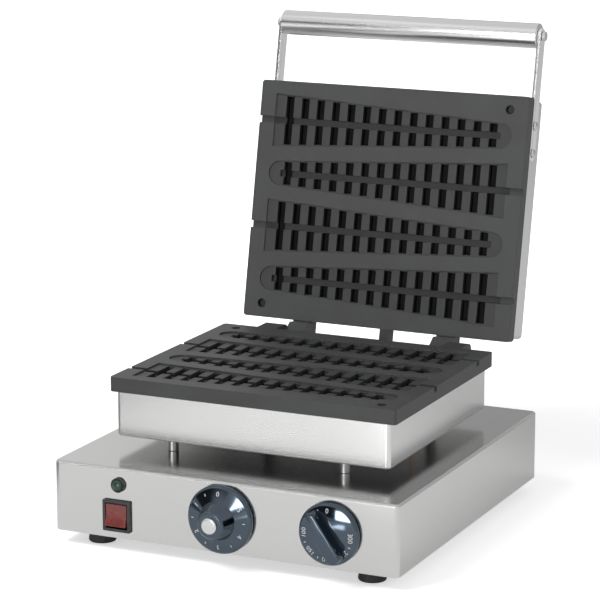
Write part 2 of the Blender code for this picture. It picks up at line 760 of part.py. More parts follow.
def pocket_mesh(whole):
    """One mould's pockets, wide end towards +X. The one numbered whole crosses the channel."""
    bm = bmesh.new()
    inner = CHANNEL_HALF - GAP
    half = POCKET_LENGTH / 2
    for number in range(POCKETS):
        along = FIRST_POCKET + number * POCKET_PITCH
        x = PLATE_WIDTH / 2 - WIDE_MARGIN - along
        outer = half_width(along + half) - POCKET_DRAFT
        spans = [(-outer, outer)] if number == whole else [(-outer, -inner), (inner, outer)]
        for y0, y1 in spans:
            low_y0 = y0 + POCKET_DRAFT if y0 == -outer else y0
            low_y1 = y1 - POCKET_DRAFT if y1 == outer else y1
            low = (x - half + POCKET_DRAFT, x + half - POCKET_DRAFT, low_y0, low_y1)
            frustum(bm, low, (x - half, x + half, y0, y1), -POCKET_DEPTH, OVERRUN)
    mesh = bpy.data.meshes.new("pockets")
    bm.to_mesh(mesh)
    bm.free()
    return mesh


def mould_cutters(name, face):
    """Recesses, pockets and stick channels for one plate. Face is 1 if they open up, -1 if down."""
    flip = Matrix.Diagonal((1, 1, face, 1))
    rows = [(flip @ at(0, y) @ Matrix.Diagonal((way, 1, 1, 1)), way) for y, way in row_ways()]
    places = [place for place, way in rows]
    yield repeated(f"{name}_recesses", flat_mesh("recess", tree_outline(), 2 * RECESS_DEPTH), places)
    for side, whole in ((-1, 0), (1, POCKETS - 1)):
        spots = [place for place, way in rows if way == side]
        yield repeated(f"{name}_pockets_{whole}", pocket_mesh(whole), spots)
    start = -PLATE_WIDTH / 2 + TIP_MARGIN + TIP_HALF
    length = PLATE_WIDTH / 2 + OVERRUN - start
    bar = baked(block("channel", length, 2 * CHANNEL_HALF, CHANNEL_DEPTH + OVERRUN))
    bar.transform(Matrix.Translation((start + length / 2, 0, -CHANNEL_DEPTH)))
    yield repeated(f"{name}_channels", bar, places)


def plate_screw_places():
    """The two corners that hold a plate screw: rear left and front right."""
    x = PLATE_WIDTH / 2 - PLATE_SCREW_INSET_X
    y = PLATE_DEPTH / 2 - PLATE_SCREW_INSET_Y
    return [(-x, y), (x, -y)]


def plate_drills(name, face):
    """Counterbored screw holes from the face, and a blind hole for the clamp screw in the back."""
    flip = Matrix.Diagonal((1, 1, face, 1))
    head, shank = SCREW_HEAD_RADIUS + 2 * GAP, SCREW_RADIUS + GAP
    deep = PLATE_THICKNESS + OVERRUN
    profile = [(0, OVERRUN), (head, OVERRUN), (head, -COUNTERBORE_DEPTH), (shank, -COUNTERBORE_DEPTH)]
    step = baked(turned("step_drill", profile + [(shank, -deep), (0, -deep)], SMALL_SIDES))
    yield repeated(f"{name}_step_drills", step, [flip @ at(x, y) for x, y in plate_screw_places()])
    depth = CLAMP_SCREW_GRIP + 2 * GAP
    yield holes(f"{name}_clamp_drill", shank, 2 * depth, [at(0, 0, -PLATE_THICKNESS * face)])


def cooking_plate(name, face, roots, parent, place, axis):
    """A cast plate with its moulds cut in. Its face lies at z = 0; roots are cast on at its rear."""
    plate = block(name, PLATE_WIDTH, PLATE_DEPTH, PLATE_THICKNESS, PLATE_CORNER_RADIUS)
    if face > 0:
        plate.data.transform(Matrix.Translation((0, 0, -PLATE_THICKNESS)))
    boolean(plate, settle(roots, parent), "UNION")
    for cutter in (*mould_cutters(name, face), *plate_drills(name, face)):
        boolean(plate, settle(cutter, parent, place))
    reach = 2 * (LUG_CENTRE_X + LUG_WIDTH + KNUCKLE_WIDTH)
    pin = holes(f"{name}_pin_drill", PIN_HOLE, reach, [Matrix.Rotation(pi / 2, 4, "Y")], ROUND_SIDES)
    boolean(plate, settle(pin, parent, axis))
    as_part(settle(plate, parent, place), "nonstick")


def knuckles():
    """The lower plate's two hinge knuckles, outside the lid's lugs."""
    root = -HINGE_BACK - ROOT_DEPTH
    low = HINGE_DROP - PLATE_THICKNESS + ROOT_INSET
    top = HINGE_DROP - ROOT_INSET
    corner = (KNUCKLE_RADIUS - KNUCKLE_CORNER, top - KNUCKLE_CORNER)
    outline = [(root, low), (-KNUCKLE_RADIUS, low)]
    outline += arc((0, 0), KNUCKLE_RADIUS, pi, 2 * pi, TIP_STEPS)
    outline += arc(corner, KNUCKLE_CORNER, 0, pi / 2, CORNER_STEPS) + [(root, top)]
    mesh = flat_mesh("knuckle", outline, KNUCKLE_WIDTH)
    x = LUG_CENTRE_X + LUG_WIDTH / 2 + GAP + KNUCKLE_WIDTH / 2
    places = [at(side * x, HINGE_Y, HINGE_Z) @ UPRIGHT_MATRIX for side in (-1, 1)]
    return repeated("knuckles", mesh, places)


def lugs():
    """The lid's two hinge lugs and the tongue that meets the stop, in the lid's frame."""
    root = -HINGE_BACK - ROOT_DEPTH
    low = LID_FACE + ROOT_INSET
    top = LID_FACE + PLATE_THICKNESS - ROOT_INSET
    front = -HINGE_BACK + LUG_SETBACK
    outline = [(root, low), (front, low), (front, LUG_HEEL)]
    outline += arc((0, 0), LUG_RADIUS, pi, 2 * pi, TIP_STEPS)
    outline += [(LUG_RADIUS, LUG_TOP_RISE), (0, top), (root, top)]
    lug = flat_mesh("lug", outline, LUG_WIDTH)
    end = -HINGE_BACK + TONGUE_LENGTH
    tongue = flat_mesh("tongue", [(root, low), (end, low), (end, top), (root, top)], TONGUE_WIDTH)
    bm = bmesh.new()
    for mesh, x in ((lug, -LUG_CENTRE_X), (lug, LUG_CENTRE_X), (tongue, TONGUE_X)):
        before = len(bm.verts)
        bm.from_mesh(mesh)
        bm.verts.ensure_lookup_table()
        bmesh.ops.transform(bm, matrix=at(x) @ UPRIGHT_MATRIX, verts=bm.verts[before:])
    bmesh.ops.recalc_face_normals(bm, faces=bm.faces)
    return mesh_object("lugs", bm)


def hinge_pins():
    """A headed pin through each knuckle and lug, put in from outside."""
    length = KNUCKLE_WIDTH + GAP + LUG_WIDTH + GAP
    outside = LUG_CENTRE_X + LUG_WIDTH / 2 + GAP + KNUCKLE_WIDTH + GAP
    for side, name in ((-1, "hinge_pin_left"), (1, "hinge_pin_right")):
        mesh = headed_screw(name, length, PIN_RADIUS, PIN_HEAD_RADIUS, PIN_HEAD_LENGTH, MIDDLE_SIDES)
        pin = repeated(name, mesh, [Matrix.Rotation(side * pi / 2, 4, "Y")])
        as_part(settle(pin, MIDDLE, (side * outside, HINGE_Y, HINGE_Z)), "dull_steel")


def lid_stop():
    """A bent bracket on the pan's rear wall, whose raised seat takes the lid's tongue."""
    wall = PLATE_Y + PAN_DEPTH / 2 + GAP - HINGE_Y
    end = -HINGE_BACK + TONGUE_LENGTH
    inner = Vector(opened(end, LID_FACE + ROOT_INSET))
    outer = Vector(opened(end, LID_FACE + PLATE_THICKNESS - ROOT_INSET))
    along = (outer - inner).normalized()
    clear = Vector((along.y, -along.x)) * GAP
    seat_inner, seat_outer = inner + clear, outer + clear
    shelf = seat_outer.y
    lip = outer.x + STOP_LIP
    outline = [(wall, -STOP_LEG), (wall + STOP_SHEET, -STOP_LEG), (wall + STOP_SHEET, shelf - STOP_SHEET)]
    outline += [(lip, shelf - STOP_SHEET), (lip, shelf), tuple(seat_outer), tuple(seat_inner)]
    outline += [(seat_inner.x - STOP_LIP, shelf), (wall, shelf)]
    bracket = flat_piece("lid_stop", outline, STOP_WIDTH)
    through = 2 * (STOP_SHEET + OVERRUN)
    spot = at(TONGUE_X, HINGE_Y + wall + STOP_SHEET / 2, STOP_SCREW_Z, pi / 2)
    boolean(bracket, settle(holes("stop_screw_drill", SCREW_RADIUS + GAP, through, [spot]), MIDDLE))
    as_part(settle(bracket, MIDDLE, (TONGUE_X, HINGE_Y, HINGE_Z), UPRIGHT), "dull_steel")
    mesh = small_screw("lid_stop_screw", STOP_SHEET + 2 * GAP + PAN_SHEET + SCREW_GRIP)
    screw = repeated("lid_stop_screw", mesh, [Matrix.Identity(4)])
    place = (TONGUE_X, HINGE_Y + wall + STOP_SHEET + GAP, STOP_SCREW_Z)
    as_part(settle(screw, MIDDLE, place, (-pi / 2, 0, 0)), "dull_steel")


def heater_path():
    """The element's runs back and forth, joined by half circles, with both ends at the left."""
    first = -(HEATER_RUNS - 1) / 2 * HEATER_RUN_PITCH
    corners = [(-HEATER_REACH - HEATER_COLD_END, first, 0)]
    for run in range(HEATER_RUNS - 1):
        side = 1 if run % 2 == 0 else -1
        y = first + run * HEATER_RUN_PITCH
        corners += [(side * HEATER_REACH, y, 0), (side * HEATER_REACH, y + HEATER_RUN_PITCH, 0)]
    corners.append((-HEATER_REACH - HEATER_COLD_END, -first, 0))
    return rounded_path(corners, HEATER_RUN_PITCH / 2)


def heating(prefix, face, parent, place, back, room):
    """Element, clamp plate, its screw and the insulation behind one plate, away from its face.

    Back is the height of the plate's back, and room the depth from there to the sheet behind.
    """
    away = -face
    middle = back + away * (GAP + HEATER_RADIUS)
    element = tube(f"{prefix}_heater", heater_path(), HEATER_RADIUS)
    as_part(settle(element, parent, (0, place, middle)), "dull_steel")
    near = back + away * (2 * GAP + 2 * HEATER_RADIUS)
    low = near if away > 0 else near - CLAMP_SHEET
    clamp = block(f"{prefix}_clamp_plate", CLAMP_WIDTH, CLAMP_DEPTH, CLAMP_SHEET)
    drill = holes(f"{prefix}_clamp_hole", SCREW_RADIUS + GAP, 2 * (CLAMP_SHEET + OVERRUN), [at()])
    boolean(clamp, settle(drill, parent, (0, place, low)))
    as_part(settle(clamp, parent, (0, place, low)), "dull_steel")
    far = near + away * CLAMP_SHEET
    mesh = small_screw(f"{prefix}_clamp_screw", abs(far - back) + GAP + CLAMP_SCREW_GRIP)
    screw = repeated(f"{prefix}_clamp_screw", mesh, [Matrix.Identity(4)])
    turn = (0 if away > 0 else pi, 0, 0)
    as_part(settle(screw, parent, (0, place, far + away * GAP), turn), "dull_steel")
    used = abs(far - back) + 3 * GAP + SCREW_HEAD_HEIGHT
    insulation(prefix, away, parent, place, back + away * used, room - used - GAP)


def insulation(prefix, away, parent, place, near, thickness):
    """A wool slab with wells round the posts' rivets and the plate screws, and a way for the capillary."""
    slab = block(
        f"{prefix}_insulation",
        PAN_WIDTH - 2 * PAN_SHEET - 2 * INSULATION_SIDE_GAP,
        PAN_DEPTH - 2 * PAN_SHEET - 2 * INSULATION_SIDE_GAP,
        thickness,
        PAN_CORNER_RADIUS,
    )
    low = near if away > 0 else near - thickness
    through = 2 * (thickness + OVERRUN)
    wells = [at(x, y - PLATE_Y) for x, y in POST_PLACES] if away < 0 else []
    wells += [at(x, y) for x, y in plate_screw_places()]
    drill = holes(f"{prefix}_wells", WELL_RADIUS, through, wells)
    boolean(slab, settle(drill, parent, (0, place, low)))
    if away < 0:
        way = holes(f"{prefix}_capillary_way", 2 * CAPILLARY_RADIUS, through, [at(CAPILLARY_X)])
        boolean(slab, settle(way, parent, (0, place, low)))
    as_part(settle(slab, parent, (0, place, low)), "wool")


def plate_screws(prefix, face, parent, place, back, room):
    """Two long screws that pull the plate onto the sheet behind it, whose threads they fill."""
    away = -face
    grip = PLATE_THICKNESS - COUNTERBORE_DEPTH
    screw = small_screw(f"{prefix}_plate_screw", grip + GAP + room + PAN_SHEET)
    head = back - away * (grip + GAP)
    turn = pi if away > 0 else 0
    places = [at(x, place + y, head, turn) for x, y in plate_screw_places()]
    pieces(f"{prefix}_plate_screw", SIDE_NAMES, screw, places, parent, "dull_steel")


def lower_side():
    """The lower plate and what lies in the pan under it."""
    cooking_plate("lower_plate", 1, knuckles(), MIDDLE, (0, PLATE_Y, PARTING_Z), (0, HINGE_Y, HINGE_Z))
    room = PAN_HEIGHT - PAN_SHEET + GAP
    heating("lower", 1, MIDDLE, PLATE_Y, PLATE_Z, room)
    plate_screws("lower", 1, MIDDLE, PLATE_Y, PLATE_Z, room)


def arm_rivet_places():
    """Where the arms' rivets lie along the lid's depth."""
    last = COVER_FRONT + ARM_OVERLAP - ARM_WIDTH / 2
    return [last - ARM_RIVET_SPACING, last]


def upper_cover():
    """The folded cover over the upper plate, drilled for the handle's arms and the plate's screws."""
    cover = tray(
        "upper_cover", PAN_WIDTH, PAN_DEPTH, COVER_HEIGHT, PAN_CORNER_RADIUS, PAN_EDGE_RADIUS, PAN_SHEET
    )
    sides = [at(0, y, HANDLE_Z, pi / 2, "Y") for y in arm_rivet_places()]
    drill = holes("arm_drill", RIVET_RADIUS + GAP, PAN_WIDTH + 2 * OVERRUN, sides)
    boolean(cover, settle(drill, LID))
    corners = [at(x, LID_PLATE_Y + y, COVER_TOP) for x, y in plate_screw_places()]
    through = 2 * (PAN_SHEET + OVERRUN)
    boolean(cover, settle(holes("cover_thread", SCREW_RADIUS + GAP, through, corners), LID))
    as_part(settle(cover, LID, (0, LID_PLATE_Y, COVER_Z)), "brushed_steel")


def handle():
    """Two flat arms on the cover's sides, and a tube with closed ends between them."""
    inside = PAN_WIDTH / 2 + GAP
    half = ARM_WIDTH / 2
    outline = arc((HANDLE_Y, HANDLE_Z), half, pi / 2, 3 * pi / 2, TIP_STEPS)
    outline += arc((arm_rivet_places()[-1], HANDLE_Z), half, -pi / 2, pi / 2, TIP_STEPS)
    reach = 2 * (ARM_THICKNESS + OVERRUN)
    for side, name in ((-1, "handle_arm_left"), (1, "handle_arm_right")):
        arm = flat_piece(name, outline, ARM_THICKNESS)
        x = side * (inside + ARM_THICKNESS / 2)
        spots = [at(x, y, HANDLE_Z, pi / 2, "Y") for y in (HANDLE_Y, *arm_rivet_places())]
        boolean(arm, settle(holes(f"{name}_drill", BOLT_RADIUS + GAP, reach, spots), LID))
        as_part(settle(arm, LID, (x, 0, 0), UPRIGHT), "chrome")
    end = inside - GAP
    bore = BOLT_RADIUS + GAP
    inner = HANDLE_RADIUS - HANDLE_WALL
    profile = [(bore, 2 * end), (HANDLE_RADIUS, 2 * end), (HANDLE_RADIUS, 0), (bore, 0)]
    profile += [(bore, HANDLE_END_WALL), (inner, HANDLE_END_WALL)]
    profile += [(inner, 2 * end - HANDLE_END_WALL), (bore, 2 * end - HANDLE_END_WALL)]
    bar = turned("handle_tube", profile)
    as_part(settle(bar, LID, (-end, HANDLE_Y, HANDLE_Z), (0, pi / 2, 0)), "chrome")
    arm_fasteners(inside + ARM_THICKNESS + GAP)


def arm_fasteners(outside):
    """Screws through the arms into the tube's ends, and rivets through them and the cover's sides."""
    sides = (-1, 1)
    length = ARM_THICKNESS + 2 * GAP + HANDLE_END_WALL
    screw = headed_screw("handle_screw", length, BOLT_RADIUS, BOLT_HEAD_RADIUS, BOLT_HEAD_HEIGHT)
    ends = [at(side * outside, HANDLE_Y, HANDLE_Z, side * pi / 2, "Y") for side in sides]
    pieces("handle_screw", SIDE_NAMES, screw, ends, LID, "chrome")
    tail = -ARM_THICKNESS - PAN_SHEET - 3 * GAP
    profile = dome(RIVET_HEAD_RADIUS, 0, RIVET_HEAD_HEIGHT) + [(RIVET_RADIUS, 0), (RIVET_RADIUS, tail)]
    profile += [(RIVET_TAIL_RADIUS, tail), (RIVET_TAIL_RADIUS, tail - RIVET_TAIL_HEIGHT)]
    rivet = baked(turned("arm_rivet", profile + [(0, tail - RIVET_TAIL_HEIGHT)], SMALL_SIDES))
    places = [
        at(side * outside, y, HANDLE_Z, side * pi / 2, "Y") for y in arm_rivet_places() for side in sides
    ]
    pieces("arm_rivet", CORNER_NAMES, rivet, places, LID, "chrome")


def upper_side():
    """The upper plate, what lies behind it, and the cover with its handle."""
    cooking_plate("upper_plate", -1, lugs(), LID, (0, LID_PLATE_Y, LID_FACE), (0, 0, 0))
    back = LID_FACE + PLATE_THICKNESS
    room = COVER_HEIGHT - PAN_SHEET + GAP
    heating("upper", -1, LID, LID_PLATE_Y, back, room)
    plate_screws("upper", -1, LID, LID_PLATE_Y, back, room)
    upper_cover()
    handle()


# Heights of a knob's skirt and of the roof of the recess that clears the bushing
SKIRT_TOP = SKIRT_STAND + SKIRT_THICKNESS
RECESS_ROOF = max(BUSHING_OUT, GAP + PANEL_NUT_HEIGHT) + 2 * GAP


def skirt_profile(radius):
    """A knob's skirt, from the foot of its grip outwards and in again to its recess."""
    rim = SKIRT_TOP - SKIRT_RISE / 2
    recess = PANEL_NUT_RADIUS + 2 * GAP
    profile = [(radius - SKIRT_RIM, rim), (radius, rim - SKIRT_RIM), (radius, SKIRT_STAND)]
    return profile + [(recess, SKIRT_STAND), (recess, RECESS_ROOF)]


def body_profile(radius, depth):
    """A control's body and its bushing, with a blind bore for the shaft. The panel is at z = 0."""
    back = -BASE_SHEET - GAP
    bore = SHAFT_RADIUS + GAP
    floor = -SHAFT_IN - GAP
    profile = [(0, floor), (bore, floor), (bore, BUSHING_OUT), (BUSHING_RADIUS, BUSHING_OUT)]
    return profile + [(BUSHING_RADIUS, back), (radius, back), (radius, back - depth), (0, back - depth)]


def shaft_and_nut(prefix, frame):
    """The nut that clamps the bushing to the panel, and the turning shaft in its bore."""
    nut = hex_nut(f"{prefix}_nut", PANEL_NUT_RADIUS, BUSHING_RADIUS + GAP, PANEL_NUT_HEIGHT)
    nut = repeated(f"{prefix}_nut", nut, [at(0, 0, GAP)])
    as_part(settle(nut, frame), "dull_steel", smooth=False)
    shaft = cylinder(f"{prefix}_shaft", SHAFT_RADIUS, SHAFT_IN + SHAFT_OUT, SMALL_SIDES)
    as_part(settle(shaft, frame, (0, 0, -SHAFT_IN)), "dull_steel")


def timer():
    """Clockwork timer: body behind the panel, nut, shaft, and a skirted knob with a round grip."""
    body = turned("timer_body", body_profile(TIMER_BODY_RADIUS, TIMER_BODY_DEPTH))
    as_part(settle(body, TIMER), "dull_steel")
    shaft_and_nut("timer", TIMER)
    bore = SHAFT_RADIUS + GAP
    profile = [(0, TIMER_GRIP_HEIGHT), (TIMER_GRIP_RADIUS - SKIRT_RIM, TIMER_GRIP_HEIGHT)]
    profile += [(TIMER_GRIP_RADIUS, TIMER_GRIP_HEIGHT - SKIRT_RIM)]
    profile += [(TIMER_GRIP_FOOT_RADIUS, SKIRT_TOP + SKIRT_RISE), *skirt_profile(TIMER_RADIUS)]
    profile += [(bore, RECESS_ROOF), (bore, SHAFT_OUT + GAP), (0, SHAFT_OUT + GAP)]
    as_part(settle(turned("timer_knob", profile), TIMER), "chrome")
    edge = TIMER_CAP_RADIUS - TIMER_CAP_HEIGHT / 2
    cap = [(0, TIMER_CAP_HEIGHT), (edge, TIMER_CAP_HEIGHT)]
    cap += [(TIMER_CAP_RADIUS, TIMER_CAP_HEIGHT / 2), (TIMER_CAP_RADIUS, 0), (0, 0)]
    as_part(settle(turned("timer_cap", cap), TIMER, (0, 0, TIMER_GRIP_HEIGHT + GAP)), "chrome")


def thermostat_body():
    """A box behind the panel with a threaded neck and a blind bore for the shaft."""
    back = -BASE_SHEET - GAP
    body = block("thermostat_body", THERMOSTAT_BODY_WIDTH, THERMOSTAT_BODY_HEIGHT, THERMOSTAT_BODY_DEPTH)
    body.data.transform(Matrix.Translation((0, 0, back - THERMOSTAT_BODY_DEPTH)))
    neck = cylinder("thermostat_neck", BUSHING_RADIUS, BUSHING_OUT - back + OVERRUN)
    boolean(body, settle(neck, THERMOSTAT, (0, 0, back - OVERRUN)), "UNION")
    deep = SHAFT_IN + GAP
    bore = cylinder("thermostat_bore", SHAFT_RADIUS + GAP, deep + BUSHING_OUT + OVERRUN, SMALL_SIDES)
    boolean(body, settle(bore, THERMOSTAT, (0, 0, -deep)))
    as_part(settle(body, THERMOSTAT), "dull_steel", smooth=False)


def thermostat():
    """Capillary thermostat: body, nut, shaft, and a skirted knob with a bar grip."""
    thermostat_body()
    shaft_and_nut("thermostat", THERMOSTAT)
    boss = SKIRT_TOP + SKIRT_RISE
    profile = [(0, boss), (THERMOSTAT_BOSS_RADIUS, boss), *skirt_profile(THERMOSTAT_RADIUS)]
    knob = turned("thermostat_knob", profile + [(0, RECESS_ROOF)])
    end = BAR_WIDTH / 2
    centre = BAR_LENGTH / 2 - end
    outline = arc((centre, 0), end, -pi / 2, pi / 2, TIP_STEPS)
    outline += arc((-centre, 0), end, pi / 2, 3 * pi / 2, TIP_STEPS)
    height = BAR_HEIGHT - (RECESS_ROOF + SKIRT_TOP) / 2
    bar = flat_piece("grip_bar", outline, height)
    boolean(knob, settle(bar, THERMOSTAT, (0, 0, BAR_HEIGHT - height / 2), (0, 0, BAR_ANGLE)), "UNION")
    socket = cylinder("thermostat_socket", SHAFT_RADIUS + GAP, SHAFT_OUT + GAP, SMALL_SIDES)
    boolean(knob, settle(socket, THERMOSTAT))
    as_part(settle(knob, THERMOSTAT), "chrome")


def capillary():
    """The sensing bulb under the lower plate, and its tube down to the thermostat's body."""
    bulb_z = PLATE_Z - GAP - BULB_RADIUS
    back = PANEL_Y + BASE_SHEET + GAP + THERMOSTAT_BODY_DEPTH + GAP
    low = BASE_Z + THERMOSTAT_HEIGHT - THERMOSTAT_BODY_HEIGHT * CAPILLARY_EXIT_SHARE
    corners = [
        (BULB_START + BULB_LENGTH / 2, PLATE_Y, bulb_z),
        (CAPILLARY_X, PLATE_Y, bulb_z),
        (CAPILLARY_X, PLATE_Y, low),
        (THERMOSTAT_X + CAPILLARY_SIDE, back, low),
    ]
    mesh = baked(tube("capillary_line", rounded_path(corners, CAPILLARY_BEND), CAPILLARY_RADIUS))
    line = repeated("capillary_line", mesh, [Matrix.Identity(4)])
    bulb = cylinder("thermostat_capillary", BULB_RADIUS, BULB_LENGTH, SMALL_SIDES)
    boolean(bulb, settle(line, MIDDLE), "UNION")
    as_part(settle(bulb, MIDDLE, (BULB_START, PLATE_Y, bulb_z), (0, pi / 2, 0)), "copper")


def switch():
    """Rocker switch: a bezel with an open housing behind it, and the rocker on its pivot."""
    inner_w, inner_h = switch_inside()
    housing = block("switch_housing", SWITCH_BEZEL_WIDTH, SWITCH_BEZEL_HEIGHT, SWITCH_BEZEL, SWITCH_WALL)
    housing.data.transform(Matrix.Translation((0, 0, GAP)))
    case = block(
        "switch_case", inner_w + 2 * SWITCH_WALL, inner_h + 2 * SWITCH_WALL, SWITCH_DEPTH + GAP + SWITCH_WALL
    )
    boolean(housing, settle(case, SWITCH, (0, 0, -SWITCH_DEPTH)), "UNION")
    low = -SWITCH_DEPTH + SWITCH_WALL
    well = block("switch_well", inner_w, inner_h, GAP + SWITCH_BEZEL + OVERRUN - low)
    boolean(housing, settle(well, SWITCH, (0, 0, low)))
    as_part(settle(housing, SWITCH), "black_plastic", smooth=False)
    end = inner_h / 2 - ROCKER_END_GAP
    keel = end * ROCKER_KEEL_SHARE
    top = ROCKER_PIVOT_IN + ROCKER_RISE
    outline = [(-end, ROCKER_PIVOT_IN), (-keel, -ROCKER_KEEL), (keel, -ROCKER_KEEL), (end, ROCKER_PIVOT_IN)]
    outline += [(end, top), (0, top - ROCKER_VALLEY), (-end, top)]
    rocker = flat_piece("switch_rocker", outline, inner_w - 2 * ROCKER_SIDE_GAP)
    as_part(settle(rocker, ROCKER, (0, 0, 0), UPRIGHT), "red_plastic", smooth=False)


def lamp():
    """Pilot lamp: a barrel with a rim, and the lens set in it."""
    inner = LAMP_RADIUS - LAMP_RIM
    seat = GAP + LAMP_SEAT
    rim = GAP + LAMP_BEZEL
    profile = [(0, seat), (inner, seat), (inner, rim), (LAMP_RADIUS, rim), (LAMP_RADIUS, GAP)]
    profile += [(LAMP_BARREL_RADIUS, GAP), (LAMP_BARREL_RADIUS, -LAMP_DEPTH), (0, -LAMP_DEPTH)]
    as_part(settle(turned("lamp_body", profile, MIDDLE_SIDES), LAMP), "black_plastic")
    radius = inner - GAP
    lens = dome(radius, rim, LENS_RISE) + [(radius, seat + GAP), (0, seat + GAP)]
    as_part(settle(turned("lamp_lens", lens, MIDDLE_SIDES), LAMP), "green_lens")


def inlet():
    """Cable gland in the rear wall with its nut, and the terminal block on the bottom plate."""
    bore = GLAND_BORE_RADIUS
    wall = -BASE_SHEET - GAP
    profile = [(bore, GLAND_OUT), (GLAND_NECK_RADIUS, GLAND_OUT), (GLAND_RADIUS, GLAND_OUT / 2)]
    profile += [(GLAND_RADIUS, GAP), (GLAND_NECK_RADIUS, GAP), (GLAND_NECK_RADIUS, wall - GLAND_IN)]
    gland = turned("cable_gland", profile + [(bore, wall - GLAND_IN)], MIDDLE_SIDES)
    as_part(settle(gland, GLAND), "black_plastic")
    nut = hex_nut("gland_nut", GLAND_NUT_RADIUS, GLAND_NECK_RADIUS + GAP, GLAND_NUT_HEIGHT)
    nut = repeated("gland_nut", nut, [at(0, 0, wall - GLAND_NUT_HEIGHT)])
    as_part(settle(nut, GLAND), "black_plastic", smooth=False)
    terminals = block("terminal_block", TERMINAL_WIDTH, TERMINAL_DEPTH, TERMINAL_HEIGHT)
    pitch = TERMINAL_WIDTH / TERMINAL_WAYS
    ways = [at((way - (TERMINAL_WAYS - 1) / 2) * pitch, 0, TERMINAL_HEIGHT) for way in range(TERMINAL_WAYS)]
    drill = holes("terminal_drill", TERMINAL_HOLE_RADIUS, TERMINAL_HEIGHT, ways)
    place = (GLAND_X, REAR_Y - TERMINAL_INSET_Y, BOTTOM_Z + BOTTOM_SHEET + GAP)
    boolean(terminals, settle(drill, MIDDLE, place))
    as_part(settle(terminals, MIDDLE, place), "ceramic", smooth=False)


base_shell()
bottom_plate()
feet()
posts()
lower_pan()
lower_side()
hinge_pins()
lid_stop()
timer()
thermostat()
capillary()
switch()
lamp()
inlet()
upper_side()
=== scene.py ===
import json
from math import atan2, cos, pi, radians, sin

import bmesh
import bpy
from mathutils import Matrix, Vector

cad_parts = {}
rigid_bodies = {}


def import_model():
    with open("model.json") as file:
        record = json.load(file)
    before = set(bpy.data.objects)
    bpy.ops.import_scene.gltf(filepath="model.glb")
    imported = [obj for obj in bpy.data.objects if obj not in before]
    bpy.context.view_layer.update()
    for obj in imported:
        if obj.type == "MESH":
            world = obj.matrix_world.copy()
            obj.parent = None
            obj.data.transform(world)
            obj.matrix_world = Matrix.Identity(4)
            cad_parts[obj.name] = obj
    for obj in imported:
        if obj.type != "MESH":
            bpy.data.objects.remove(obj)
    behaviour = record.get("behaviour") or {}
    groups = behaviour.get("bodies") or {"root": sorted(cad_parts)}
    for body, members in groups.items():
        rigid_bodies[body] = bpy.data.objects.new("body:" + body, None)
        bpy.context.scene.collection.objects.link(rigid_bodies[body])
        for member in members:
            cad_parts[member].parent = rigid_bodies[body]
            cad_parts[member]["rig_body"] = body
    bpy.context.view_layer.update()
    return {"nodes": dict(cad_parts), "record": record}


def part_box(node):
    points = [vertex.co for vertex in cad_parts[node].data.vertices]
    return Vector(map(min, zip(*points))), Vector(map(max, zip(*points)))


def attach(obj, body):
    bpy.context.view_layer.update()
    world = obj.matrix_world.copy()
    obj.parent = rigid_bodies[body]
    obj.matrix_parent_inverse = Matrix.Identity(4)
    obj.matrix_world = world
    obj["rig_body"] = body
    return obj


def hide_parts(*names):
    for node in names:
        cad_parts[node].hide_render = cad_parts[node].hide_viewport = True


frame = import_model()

scene = bpy.context.scene
scene.view_settings.view_transform = "Standard"

# The standpoint: a long lens a little above the machine, off to its front right, as the
# photograph was taken.
eye = bpy.data.cameras.new("camera")
eye.sensor_width = 36
eye.lens = 162.7
eye.clip_end = 60
camera = bpy.data.objects.new("camera", eye)
looking_down, turned_left = radians(12.69), radians(24.88)
camera.location = (1.0018, -2.1988, 0.7399)
camera.rotation_euler = (pi / 2 - looking_down, 0, turned_left)
scene.collection.objects.link(camera)
scene.camera = camera

# The floor and the backdrop: white paper under and behind the machine, lit by a large soft lamp
# high at the front left and a weaker one at the right. Metal mirrors a fuller studio than the
# lens sees.
class Wire:
    """One output in a node tree, on which sums can be written plainly."""

    def __init__(self, maker, socket):
        self.maker = maker
        self.socket = socket

    def __add__(self, other):
        return self.maker.sum("ADD", self, other)

    def __sub__(self, other):
        return self.maker.sum("SUBTRACT", self, other)

    def __rsub__(self, other):
        return self.maker.sum("SUBTRACT", other, self)

    def __mul__(self, other):
        return self.maker.sum("MULTIPLY", self, other)

    __radd__ = __add__
    __rmul__ = __mul__


class Nodes:
    """A node tree that a material or the world is made of."""

    def __init__(self, tree):
        self.tree = tree

    def join(self, value, socket):
        """Feed the socket from a wire, or set its plain value."""
        if isinstance(value, Wire):
            self.tree.links.new(value.socket, socket)
        else:
            socket.default_value = value

    def add(self, kind, settings=None, inputs=None, output=0):
        """A node of this kind, its settings set first; gives one of its outputs."""
        node = self.tree.nodes.new(kind)
        for setting, value in (settings or {}).items():
            setattr(node, setting, value)
        for socket, value in (inputs or {}).items():
            self.join(value, node.inputs[socket])
        return Wire(self, node.outputs[output])

    def sum(self, operation, first, second):
        return self.add("ShaderNodeMath", {"operation": operation}, {0: first, 1: second})

    def along(self, point, direction):
        """How far the point lies along this direction."""
        settings = {"operation": "DOT_PRODUCT"}
        return self.add("ShaderNodeVectorMath", settings, {0: point, 1: direction}, "Value")

    def between(self, value, low, high):
        """0 below low, 1 above high, and a soft step between."""
        inputs = {"Value": value, "From Min": low, "From Max": high}
        return self.add("ShaderNodeMapRange", {"interpolation_type": "SMOOTHSTEP"}, inputs)

    def band(self, value, start, full, fading, end):
        """1 from full to fading, and 0 before start and past end."""
        return self.between(value, start, full) * (1 - self.between(value, fading, end))


def seen(maker):
    """1 for what the lens, metal and glass see, 0 for the light that falls on the machine."""
    rays = ("Is Camera Ray", "Is Glossy Ray", "Is Transmission Ray")
    path = [maker.add("ShaderNodeLightPath", output=ray) for ray in rays]
    return path[0] + path[1] + path[2]


